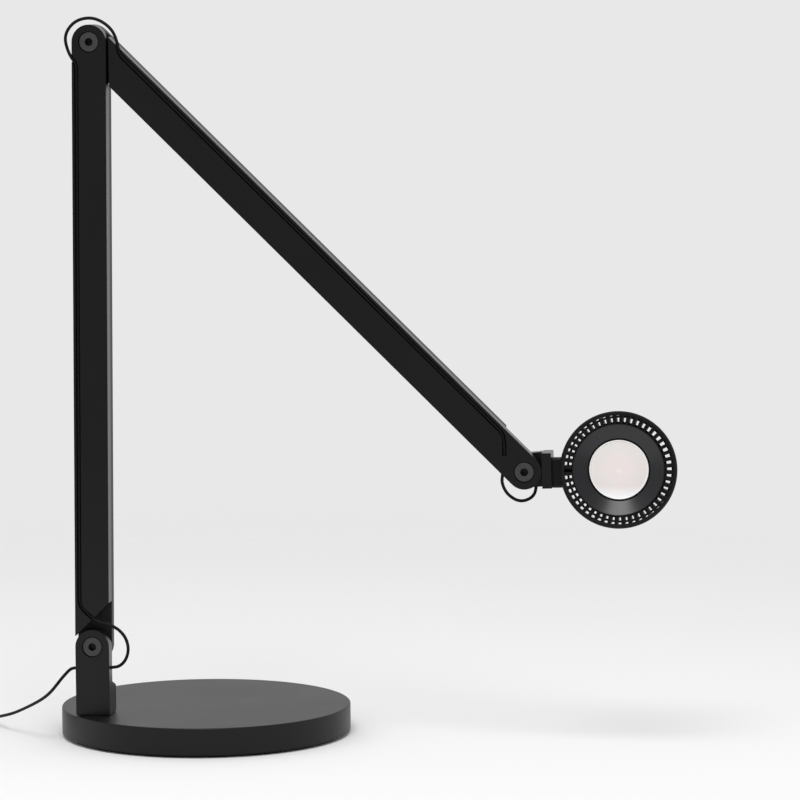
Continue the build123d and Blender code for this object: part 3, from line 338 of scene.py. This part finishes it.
# Spark-eroded mould steel leaves ABS with a fine even grain and a dull sheen.
moulded_abs, place = new_material("moulded_abs")
grain_size = 0.0005
grain = add_node(moulded_abs, "TexNoise", {"Scale": 1 / grain_size, "Detail": 2.0}, {"Vector": place})
grain_bump = add_node(
    moulded_abs, "Bump", {"Strength": 0.5, "Distance": 0.00004}, {"Height": (grain, "Fac")}
)
abs_surface = add_node(
    moulded_abs,
    "BsdfPrincipled",
    {"Base Color": linear("#1b1b1c"), "IOR": 1.53, "Roughness": 0.55, "Specular IOR Level": 0.4},
    {"Normal": (grain_bump, "Normal")},
)
add_node(moulded_abs, "OutputMaterial", {}, {"Surface": (abs_surface, "BSDF")})
dress(moulded_abs, "adapter")

# Nickel plating is warm grey, with fine lines from the turned brass under it.
nickel_plate, place = new_material("nickel_plated_brass")
line_size = 0.0004
lines = add_node(nickel_plate, "TexNoise", {"Scale": 1 / line_size, "Detail": 2.0}, {"Vector": place})
line_change = add_node(
    nickel_plate, "MapRange", {"To Min": 0.2, "To Max": 0.34}, {"Value": (lines, "Fac")}
)
nickel_surface = add_node(
    nickel_plate,
    "BsdfPrincipled",
    {"Base Color": linear("#cfc8bb"), "Metallic": 1.0},
    {"Roughness": (line_change, "Result")},
)
add_node(nickel_plate, "OutputMaterial", {}, {"Surface": (nickel_surface, "BSDF")})
dress(nickel_plate, "adapter_pins")

# ---- Base cover, bracket, arms and collar --------------------------------------------------------
# The cover and floor plate are pressed steel. The bracket, front shells, collar, head's rim and back
# cover are aluminium. All are sprayed with black polyester powder, baked, and screwed from behind.
def powder_coat(name, dullness):
    """Baked powder: a low orange peel, the finer grit of its matting agent, and faint patches."""
    material, where = new_material(name)
    peel_size = 0.0016
    grit_size = 0.0004
    patch_size = 0.05
    peel = add_node(material, "TexNoise", {"Scale": 1 / peel_size, "Detail": 1.0}, {"Vector": where})
    grit = add_node(material, "TexNoise", {"Scale": 1 / grit_size, "Detail": 3.0}, {"Vector": where})
    patches = add_node(
        material, "TexNoise", {"Scale": 1 / patch_size, "Detail": 3.0}, {"Vector": where}
    )
    peel_bump = add_node(
        material, "Bump", {"Strength": 0.2, "Distance": 0.00005}, {"Height": (peel, "Fac")}
    )
    grit_bump = add_node(
        material,
        "Bump",
        {"Strength": 0.2, "Distance": 0.00002},
        {"Height": (grit, "Fac"), "Normal": (peel_bump, "Normal")},
    )
    colour = add_node(
        material,
        "Mix",
        {"data_type": "RGBA", "A_Color": linear("#121213"), "B_Color": linear("#161617")},
        {"Factor_Float": (patches, "Fac")},
    )
    sheen = add_node(
        material,
        "MapRange",
        {"To Min": dullness - 0.03, "To Max": dullness + 0.03},
        {"Value": (patches, "Fac")},
    )
    surface = add_node(
        material,
        "BsdfPrincipled",
        {"IOR": 1.5, "Specular IOR Level": 0.22},
        {
            "Base Color": (colour, "Result_Color"),
            "Roughness": (sheen, "Result"),
            "Normal": (grit_bump, "Normal"),
        },
    )
    add_node(material, "OutputMaterial", {}, {"Surface": (surface, "BSDF")})
    return material


dress(powder_coat("matt_polyester_powder_coat", 0.4), "base_cover", "base_floor_plate", "back_cover")
dress(
    powder_coat("satin_polyester_powder_coat", 0.29),
    "bracket",
    "lower_front_shell",
    "upper_front_shell",
    "neck_block",
    "neck_cap",
    "head_rim",
)

# ---- Arms: rear shells and tongue covers ---------------------------------------------------------
# Die-cast aluminium like the fronts, and screwed to them from behind. Their powder coat has a fine
# matt texture, which leaves them a little duller than the fronts.
textured_coat, place = new_material("fine_texture_powder_coat")
texture_size = 0.0004
texture = add_node(
    textured_coat, "TexNoise", {"Scale": 1 / texture_size, "Detail": 3.0}, {"Vector": place}
)
texture_colour = add_node(
    textured_coat,
    "Mix",
    {"data_type": "RGBA", "A_Color": linear("#111112"), "B_Color": linear("#171718")},
    {"Factor_Float": (texture, "Fac")},
)
texture_bump = add_node(
    textured_coat, "Bump", {"Strength": 0.35, "Distance": 0.00003}, {"Height": (texture, "Fac")}
)
texture_surface = add_node(
    textured_coat,
    "BsdfPrincipled",
    {"IOR": 1.5, "Roughness": 0.48, "Specular IOR Level": 0.22},
    {"Base Color": (texture_colour, "Result_Color"), "Normal": (texture_bump, "Normal")},
)
add_node(textured_coat, "OutputMaterial", {}, {"Surface": (texture_surface, "BSDF")})
for arm in ("lower", "upper"):
    dress(textured_coat, f"{arm}_rear_shell", f"{arm}_tongue_cover")

# ---- Base: weight, pad and screws ----------------------------------------------------------------
# A round slab of cast iron keeps the lamp upright. A floor plate closes the drum, and a foam
# rubber pad under it grips the table. Four zinc-plated screws go up through both.
cast_iron, place = new_material("raw_cast_iron")
sand_size = 0.0012
# Sand casting leaves a coarse grey skin with darker hollows.
sand = add_node(cast_iron, "TexNoise", {"Scale": 1 / sand_size, "Detail": 4.0}, {"Vector": place})
iron_colour = add_node(
    cast_iron,
    "Mix",
    {"data_type": "RGBA", "A_Color": linear("#3b3937"), "B_Color": linear("#6a6764")},
    {"Factor_Float": (sand, "Fac")},
)
iron_bump = add_node(
    cast_iron, "Bump", {"Strength": 0.6, "Distance": 0.0002}, {"Height": (sand, "Fac")}
)
iron_surface = add_node(
    cast_iron,
    "BsdfPrincipled",
    {"Metallic": 1.0, "Roughness": 0.62},
    {"Base Color": (iron_colour, "Result_Color"), "Normal": (iron_bump, "Normal")},
)
add_node(cast_iron, "OutputMaterial", {}, {"Surface": (iron_surface, "BSDF")})
dress(cast_iron, "base_weight")

# Foam rubber is dead matt, with small open cells in its cut face.
foam_rubber, place = new_material("cellular_foam_rubber")
cell_size = 0.0007
cells = add_node(foam_rubber, "TexVoronoi", {"Scale": 1 / cell_size}, {"Vector": place})
cell_bump = add_node(
    foam_rubber, "Bump", {"Strength": 0.7, "Distance": 0.00012}, {"Height": (cells, "Distance")}
)
cell_colour = add_node(
    foam_rubber,
    "Mix",
    {"data_type": "RGBA", "A_Color": linear("#101010"), "B_Color": linear("#232323")},
    {"Factor_Float": (cells, "Distance")},
)
rubber_surface = add_node(
    foam_rubber,
    "BsdfPrincipled",
    {"IOR": 1.5, "Roughness": 0.9, "Specular IOR Level": 0.2},
    {"Base Color": (cell_colour, "Result_Color"), "Normal": (cell_bump, "Normal")},
)
add_node(foam_rubber, "OutputMaterial", {}, {"Surface": (rubber_surface, "BSDF")})
dress(foam_rubber, "base_pad")

# Bright zinc plating over turned steel is bluish and a little cloudy. The swivel's spindle and nut
# have it too, and so have the pins that the springs hook on.
zinc_plate, place = new_material("bright_zinc_plated_steel")
cloud_size = 0.002
clouds = add_node(zinc_plate, "TexNoise", {"Scale": 1 / cloud_size, "Detail": 3.0}, {"Vector": place})
zinc_colour = add_node(
    zinc_plate,
    "Mix",
    {"data_type": "RGBA", "A_Color": linear("#a7abb0"), "B_Color": linear("#c5c9cc")},
    {"Factor_Float": (clouds, "Fac")},
)
zinc_sheen = add_node(
    zinc_plate, "MapRange", {"To Min": 0.28, "To Max": 0.42}, {"Value": (clouds, "Fac")}
)
zinc_surface = add_node(
    zinc_plate,
    "BsdfPrincipled",
    {"Metallic": 1.0},
    {"Base Color": (zinc_colour, "Result_Color"), "Roughness": (zinc_sheen, "Result")},
)
add_node(zinc_plate, "OutputMaterial", {}, {"Surface": (zinc_surface, "BSDF")})
dress(zinc_plate, "base_screws", "swivel_spindle", "swivel_nut", "lower_anchor_pin", "upper_anchor_pin")

# ---- Swivel and pivot bearings -------------------------------------------------------------------
# Oil-filled bronze bushes carry the swivel's spindle and the pivots' screws. Thin nylon washers
# between the links give each joint its steady drag.
sintered_bronze, place = new_material("sintered_bronze")
powder_size = 0.0003
# Pressed and sintered powder is a dull warm brown with tiny pores.
pores = add_node(
    sintered_bronze, "TexNoise", {"Scale": 1 / powder_size, "Detail": 2.0}, {"Vector": place}
)
bronze_colour = add_node(
    sintered_bronze,
    "Mix",
    {"data_type": "RGBA", "A_Color": linear("#7d5a32"), "B_Color": linear("#b08a55")},
    {"Factor_Float": (pores, "Fac")},
)
bronze_surface = add_node(
    sintered_bronze,
    "BsdfPrincipled",
    {"Metallic": 1.0, "Roughness": 0.45},
    {"Base Color": (bronze_colour, "Result_Color")},
)
add_node(sintered_bronze, "OutputMaterial", {}, {"Surface": (bronze_surface, "BSDF")})
dress(
    sintered_bronze, "swivel_bush", "lower_pivot_bushes", "upper_pivot_bushes", "head_pivot_bushes"
)

# Stamped nylon is smooth and slightly waxy.
black_nylon, place = new_material("stamped_black_nylon")
wax_size = 0.003
wax = add_node(black_nylon, "TexNoise", {"Scale": 1 / wax_size, "Detail": 2.0}, {"Vector": place})
wax_sheen = add_node(
    black_nylon, "MapRange", {"To Min": 0.35, "To Max": 0.5}, {"Value": (wax, "Fac")}
)
nylon_surface = add_node(
    black_nylon,
    "BsdfPrincipled",
    {"Base Color": linear("#141414"), "IOR": 1.48, "Specular IOR Level": 0.4},
    {"Roughness": (wax_sheen, "Result")},
)
add_node(black_nylon, "OutputMaterial", {}, {"Surface": (nylon_surface, "BSDF")})
dress(
    black_nylon,
    "swivel_washer",
    "lower_friction_washer",
    "upper_friction_washer",
    "head_friction_washer",
)


# ---- Pivot screws and nuts -----------------------------------------------------------------------
# Large flat-headed socket screws, turned from steel and blackened, sit in a counterbore at each
# pivot. A disc nut with two spanner holes closes each pivot from behind.
def blackened_steel(name, centre):
    """Black oxide over a turned face: dark grey, with rings from the tool about the piece's axis."""
    material, where = new_material(name)
    from_axis = add_node(
        material,
        "VectorMath",
        {"operation": "SUBTRACT", "Vector_001": (centre.x, 0, centre.z)},
        {"Vector": where},
    )
    flat = add_node(
        material,
        "VectorMath",
        {"operation": "MULTIPLY", "Vector_001": (1, 0, 1)},
        {"Vector": (from_axis, "Vector")},
    )
    reach = add_node(
        material, "VectorMath", {"operation": "LENGTH"}, {"Vector": (flat, "Vector")}
    )
    ring_pitch = 0.0007  # a turned face has rings of 0.1 mm, drawn wider so that they show
    phase = add_node(
        material,
        "Math",
        {"operation": "MULTIPLY", "Value_001": 2 * math.pi / ring_pitch},
        {"Value": (reach, "Value")},
    )
    rings = add_node(material, "Math", {"operation": "SINE"}, {"Value": (phase, "Value")})
    oxide_size = 0.0009
    oxide = add_node(material, "TexNoise", {"Scale": 1 / oxide_size, "Detail": 3.0}, {"Vector": where})
    colour = add_node(
        material,
        "Mix",
        {"data_type": "RGBA", "A_Color": linear("#2b2b2c"), "B_Color": linear("#4a4a4b")},
        {"Factor_Float": (oxide, "Fac")},
    )
    socket_reach = 0.0031  # the socket's radius; inside it the colour is painted near black, as painted shade in the recess
    socket = add_node(
        material,
        "MapRange",
        {"From Min": 0.9 * socket_reach, "From Max": socket_reach},
        {"Value": (reach, "Value")},
    )
    face_and_socket_shade = add_node(
        material,
        "Mix",
        {"data_type": "RGBA", "A_Color": linear("#070707")},
        {"Factor_Float": (socket, "Result"), "B_Color": (colour, "Result_Color")},
    )
    bump = add_node(
        material, "Bump", {"Strength": 0.3, "Distance": 0.00003}, {"Height": (rings, "Value")}
    )
    surface = add_node(
        material,
        "BsdfPrincipled",
        {"Metallic": 0.35, "Roughness": 0.5, "IOR": 1.5, "Specular IOR Level": 0.5},
        {"Base Color": (face_and_socket_shade, "Result_Color"), "Normal": (bump, "Normal")},
    )
    add_node(material, "OutputMaterial", {}, {"Surface": (surface, "BSDF")})
    return material


for link, pivot in (("lower", "lower_tilt"), ("upper", "elbow"), ("head", "head_tilt")):
    dress(
        blackened_steel(f"blackened_steel_{link}", pivots[pivot]),
        f"{link}_pivot_screw",
        f"{link}_pivot_nut",
    )
head_low, head_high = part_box("head_rim")
head_middle = (head_low + head_high) / 2
dress(
    blackened_steel("blackened_steel_screws", head_middle),
    "lower_shell_screws",
    "upper_shell_screws",
    "neck_screws",
    "back_screws",
)

# ---- Springs, cams and pull wires ----------------------------------------------------------------
# An oiled spring of hard-drawn steel wire lies in each arm. A stranded wire ties it to a steel cam
# on the pivot's screw, so that the spring carries the weight beyond the joint.
spring_steel, place = new_material("oiled_spring_steel")
draw_mark = 0.0006
# Drawing leaves fine marks along the wire, darkened by oil.
marks = add_node(spring_steel, "TexNoise", {"Scale": 1 / draw_mark, "Detail": 2.0}, {"Vector": place})
spring_colour = add_node(
    spring_steel,
    "Mix",
    {"data_type": "RGBA", "A_Color": linear("#5b5d60"), "B_Color": linear("#8a8d90")},
    {"Factor_Float": (marks, "Fac")},
)
spring_surface = add_node(
    spring_steel,
    "BsdfPrincipled",
    {"Metallic": 1.0, "Roughness": 0.32},
    {"Base Color": (spring_colour, "Result_Color")},
)
add_node(spring_steel, "OutputMaterial", {}, {"Surface": (spring_surface, "BSDF")})
for arm in ("lower", "upper"):
    dress(spring_steel, f"{arm}_balance_spring", f"{arm}_spring_cam", f"{arm}_pull_wire")

# ---- Head: stem and heat sink --------------------------------------------------------------------
# The stem is milled from bar and anodised black, and turns in the collar. The heat sink is die-cast
# aluminium, anodised black, with 48 fins that reach out to the rim.
anodised, place = new_material("black_anodised_aluminium")
blast_size = 0.00025
# Bead blasting before the bath gives a fine frosted grain.
blast = add_node(anodised, "TexNoise", {"Scale": 1 / blast_size, "Detail": 2.0}, {"Vector": place})
blast_bump = add_node(
    anodised, "Bump", {"Strength": 0.3, "Distance": 0.00001}, {"Height": (blast, "Fac")}
)
blast_sheen = add_node(
    anodised, "MapRange", {"To Min": 0.42, "To Max": 0.52}, {"Value": (blast, "Fac")}
)
anodised_surface = add_node(
    anodised,
    "BsdfPrincipled",
    {"Base Color": linear("#0c0c0d"), "IOR": 1.6, "Specular IOR Level": 0.15},
    {"Roughness": (blast_sheen, "Result"), "Normal": (blast_bump, "Normal")},
)
add_node(anodised, "OutputMaterial", {}, {"Surface": (anodised_surface, "BSDF")})
dress(anodised, "head_stem", "heat_sink")

# ---- Head: light cone ----------------------------------------------------------------------------
# A shallow spun aluminium cone between the fins and the diffuser, with a satin black lacquer
# that catches a cool light on its lower half.
satin_lacquer, place = new_material("satin_black_lacquer")
spun_size = 0.004
spun = add_node(satin_lacquer, "TexNoise", {"Scale": 1 / spun_size, "Detail": 2.0}, {"Vector": place})
spun_sheen = add_node(
    satin_lacquer, "MapRange", {"To Min": 0.25, "To Max": 0.31}, {"Value": (spun, "Fac")}
)
lacquer_surface = add_node(
    satin_lacquer,
    "BsdfPrincipled",
    {"Base Color": linear("#151519"), "IOR": 1.5, "Specular IOR Level": 0.5},
    {"Roughness": (spun_sheen, "Result")},
)
add_node(satin_lacquer, "OutputMaterial", {}, {"Surface": (lacquer_surface, "BSDF")})
dress(satin_lacquer, "light_cone")

# ---- Head: diffuser ------------------------------------------------------------------------------
# A slightly domed disc of opal acrylic, frosted on its face and snapped into the cone. Its middle
# is faintly pink where the LEDs' warm phosphor shows through.
opal_acrylic, place = new_material("frosted_opal_acrylic")
diffuser_low, diffuser_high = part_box("diffuser")
diffuser_middle = (diffuser_low + diffuser_high) / 2
diffuser_radius = (diffuser_high.x - diffuser_low.x) / 2
from_middle = add_node(
    opal_acrylic,
    "VectorMath",
    {"operation": "DISTANCE", "Vector_001": diffuser_middle},
    {"Vector": place},
)
warmth = add_node(
    opal_acrylic,
    "MapRange",
    {
        "interpolation_type": "SMOOTHSTEP",
        "From Min": 0.4 * diffuser_radius,
        "From Max": 0.66 * diffuser_radius,
    },
    {"Value": (from_middle, "Value")},
)
opal_colour = add_node(
    opal_acrylic,
    "Mix",
    {"data_type": "RGBA", "A_Color": linear("#e7dedc"), "B_Color": linear("#e3ddda")},
    {"Factor_Float": (warmth, "Result")},
)
# Towards the foot of the disc the colour is painted whiter, a painted highlight on its lower part.
place_parts = add_node(opal_acrylic, "SeparateXYZ", {}, {"Vector": place})
painted_light_at_foot = add_node(
    opal_acrylic,
    "MapRange",
    {
        "interpolation_type": "SMOOTHSTEP",
        "From Min": diffuser_middle.z - 0.45 * diffuser_radius,
        "From Max": diffuser_middle.z - 0.95 * diffuser_radius,
    },
    {"Value": (place_parts, "Z")},
)
opal_colour_with_painted_light = add_node(
    opal_acrylic,
    "Mix",
    {"data_type": "RGBA", "B_Color": linear("#fbf9f9")},
    {"Factor_Float": (painted_light_at_foot, "Result"), "A_Color": (opal_colour, "Result_Color")},
)
frost_size = 0.0003
frost = add_node(opal_acrylic, "TexNoise", {"Scale": 1 / frost_size, "Detail": 2.0}, {"Vector": place})
frost_bump = add_node(
    opal_acrylic, "Bump", {"Strength": 0.3, "Distance": 0.00001}, {"Height": (frost, "Fac")}
)
opal_surface = add_node(
    opal_acrylic,
    "BsdfPrincipled",
    {"IOR": 1.49, "Roughness": 0.5, "Subsurface Weight": 0.3, "Subsurface Scale": 0.002},
    {"Base Color": (opal_colour_with_painted_light, "Result_Color"), "Normal": (frost_bump, "Normal")},
)
add_node(opal_acrylic, "OutputMaterial", {}, {"Surface": (opal_surface, "BSDF")})
dress(opal_acrylic, "diffuser")

# ---- Head: diffuser's lip and seal ---------------------------------------------------------------
# The acrylic disc has a bead moulded along its edge, polished where the frost of its face ends. A
# ring of black silicone rubber closes the gap between the bead and the cone.
facing = Vector(next(joint["axis"] for joint in frame["joints"] if joint["name"] == "power_button"))
head_offset = 0.0696
head_centre = pivots["head_swivel"] + Vector(neck_axis) * head_offset


def edge_ring(name, material, height, ring_radius, bead_radius):
    """A round ring about the head's axis, at a height in front of the stem."""
    around = 96
    section = 12
    mesh = bpy.data.meshes.new(name)
    across = Vector(neck_axis)
    up = facing.cross(across)
    points = []
    for step in range(around):
        turn = 2 * math.pi * step / around
        out = across * math.cos(turn) + up * math.sin(turn)
        for part in range(section):
            lean = 2 * math.pi * part / section
            reach = ring_radius + bead_radius * math.cos(lean)
            points.append(head_centre + out * reach + facing * (height + bead_radius * math.sin(lean)))
    faces = []
    for step in range(around):
        here, ahead = step * section, (step + 1) % around * section
        for part in range(section):
            beyond = (part + 1) % section
            faces.append((here + part, here + beyond, ahead + beyond, ahead + part))
    mesh.from_pydata(points, [], faces)
    mesh.shade_smooth()
    mesh.materials.append(material)
    ring = bpy.data.objects.new(name, mesh)
    scene.collection.objects.link(ring)
    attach(ring, "head")
    return ring


polished_acrylic, place = new_material("polished_opal_acrylic")
flow_size = 0.002
flow = add_node(
    polished_acrylic, "TexNoise", {"Scale": 1 / flow_size, "Detail": 2.0}, {"Vector": place}
)
flow_sheen = add_node(
    polished_acrylic, "MapRange", {"To Min": 0.12, "To Max": 0.2}, {"Value": (flow, "Fac")}
)
lip_surface = add_node(
    polished_acrylic,
    "BsdfPrincipled",
    {"Base Color": linear("#f6f3f0"), "IOR": 1.49},
    {"Roughness": (flow_sheen, "Result")},
)
add_node(polished_acrylic, "OutputMaterial", {}, {"Surface": (lip_surface, "BSDF")})

silicone, place = new_material("black_silicone_rubber")
bloom_size = 0.0015
# Silicone is dead black with a faint pale bloom.
bloom = add_node(silicone, "TexNoise", {"Scale": 1 / bloom_size, "Detail": 3.0}, {"Vector": place})
bloom_colour = add_node(
    silicone,
    "Mix",
    {"data_type": "RGBA", "A_Color": linear("#070707"), "B_Color": linear("#0e0e0e")},
    {"Factor_Float": (bloom, "Fac")},
)
silicone_surface = add_node(
    silicone,
    "BsdfPrincipled",
    {"IOR": 1.43, "Roughness": 0.7, "Specular IOR Level": 0.12},
    {"Base Color": (bloom_colour, "Result_Color")},
)
add_node(silicone, "OutputMaterial", {}, {"Surface": (silicone_surface, "BSDF")})

face_height = 0.0051  # of the diffuser's edge, in front of the stem's axis
lip_radius, lip_bead = 0.0214, 0.0005
seal_radius, seal_bead = 0.0226, 0.0007
lip = edge_ring("diffuser_lip", polished_acrylic, face_height + 0.0001, lip_radius, lip_bead)
seal = edge_ring("diffuser_seal", silicone, face_height + 0.0002, seal_radius, seal_bead)

# ---- Head: boards --------------------------------------------------------------------------------
# Two round fibreglass boards: one with the LEDs against the sink's web, one behind it with the
# driver and the switch. Both have a white solder mask.
solder_mask, place = new_material("white_solder_mask")
weave_size = 0.0012
weave = add_node(solder_mask, "TexNoise", {"Scale": 1 / weave_size, "Detail": 1.0}, {"Vector": place})
mask_colour = add_node(
    solder_mask,
    "Mix",
    {"data_type": "RGBA", "A_Color": linear("#d9d7cf"), "B_Color": linear("#efeeea")},
    {"Factor_Float": (weave, "Fac")},
)
mask_surface = add_node(
    solder_mask,
    "BsdfPrincipled",
    {"IOR": 1.55, "Roughness": 0.35},
    {"Base Color": (mask_colour, "Result_Color")},
)
add_node(solder_mask, "OutputMaterial", {}, {"Surface": (mask_surface, "BSDF")})
dress(solder_mask, "led_board", "driver_board")

# ---- Head: switch button -------------------------------------------------------------------------
# A round push button in the back cover, moulded in the same black ABS as the adapter. Its flange
# behind the cover keeps it in.
dress(moulded_abs, "power_button")

# ---- Studio: floor and backdrop ------------------------------------------------------------------
# A plain pale table top that fades into an equally pale surround, with no edge to be seen.
floor_radius = 1.5
fade_start = 0.45
floor_mesh = bpy.data.meshes.new("studio_floor")
floor_mesh.from_pydata(
    [
        (-floor_radius, -floor_radius, 0),
        (floor_radius, -floor_radius, 0),
        (floor_radius, floor_radius, 0),
        (-floor_radius, floor_radius, 0),
    ],
    [],
    [(0, 1, 2, 3)],
)
floor = bpy.data.objects.new("studio_floor", floor_mesh)
scene.collection.objects.link(floor)
table_top, place = new_material("pale_table_top")
from_lamp = add_node(table_top, "VectorMath", {"operation": "LENGTH"}, {"Vector": place})
fade = add_node(
    table_top,
    "MapRange",
    {"interpolation_type": "SMOOTHSTEP", "From Min": fade_start, "From Max": floor_radius},
    {"Value": (from_lamp, "Value")},
)
pale = add_node(table_top, "BsdfDiffuse", {"Color": linear("#f5f4f3")})
clear = add_node(table_top, "BsdfTransparent", {})
faded = add_node(
    table_top,
    "MixShader",
    {},
    {"Fac": (fade, "Result"), "Shader": (pale, "BSDF"), "Shader_001": (clear, "BSDF")},
)
add_node(table_top, "OutputMaterial", {}, {"Surface": (faded, "Shader")})
floor_mesh.materials.append(table_top)

# ---- Studio: light -------------------------------------------------------------------------------
# Even light from all round, and a soft box above and in front, which gives the short soft shadows.
# The room in front is dim, so the coat's reflections are deep at the front and pale at the sides.
surround = bpy.data.worlds.new("studio_surround")
scene.world = surround
surround.use_nodes = True
surround.node_tree.nodes.clear()
rays = add_node(surround, "LightPath", {})
seen = add_node(
    surround,
    "Math",
    {"operation": "MAXIMUM"},
    {"Value": (rays, "Is Camera Ray"), "Value_001": (rays, "Is Transmission Ray")},
)
direction = add_node(surround, "TexCoord", {})
direction_parts = add_node(surround, "SeparateXYZ", {}, {"Vector": (direction, "Generated")})
front_glow = 0.36
side_glow = 0.86
glow = add_node(
    surround,
    "MapRange",
    {
        "interpolation_type": "SMOOTHSTEP",
        "From Min": -0.95,
        "From Max": -0.1,
        "To Min": front_glow,
        "To Max": side_glow,
    },
    {"Value": (direction_parts, "Y")},
)
even_light = add_node(surround, "Background", {"Color": linear("#f4f4f6"), "Strength": 0.82})
backdrop = add_node(surround, "Background", {"Color": linear("#e9e8e8"), "Strength": 1.0})
reflected = add_node(
    surround, "Background", {"Color": linear("#ffffff")}, {"Strength": (glow, "Result")}
)
lit = add_node(
    surround,
    "MixShader",
    {},
    {
        "Fac": (rays, "Is Glossy Ray"),
        "Shader": (even_light, "Background"),
        "Shader_001": (reflected, "Background"),
    },
)
both = add_node(
    surround,
    "MixShader",
    {},
    {
        "Fac": (seen, "Value"),
        "Shader": (lit, "Shader"),
        "Shader_001": (backdrop, "Background"),
    },
)
add_node(surround, "OutputWorld", {}, {"Surface": (both, "Shader")})

box_place = Vector((0.1, -1.1, 2.0))
box_target = Vector((0.1, 0, 0.2))
box_light = bpy.data.lights.new("top_soft_box", "AREA")
box_light.size = 1.0
box_light.energy = 20
soft_box = bpy.data.objects.new("top_soft_box", box_light)
scene.collection.objects.link(soft_box)
box_aim = (box_place - box_target).to_track_quat("Z", "Y")
soft_box.matrix_world = Matrix.LocRotScale(box_place, box_aim, None)
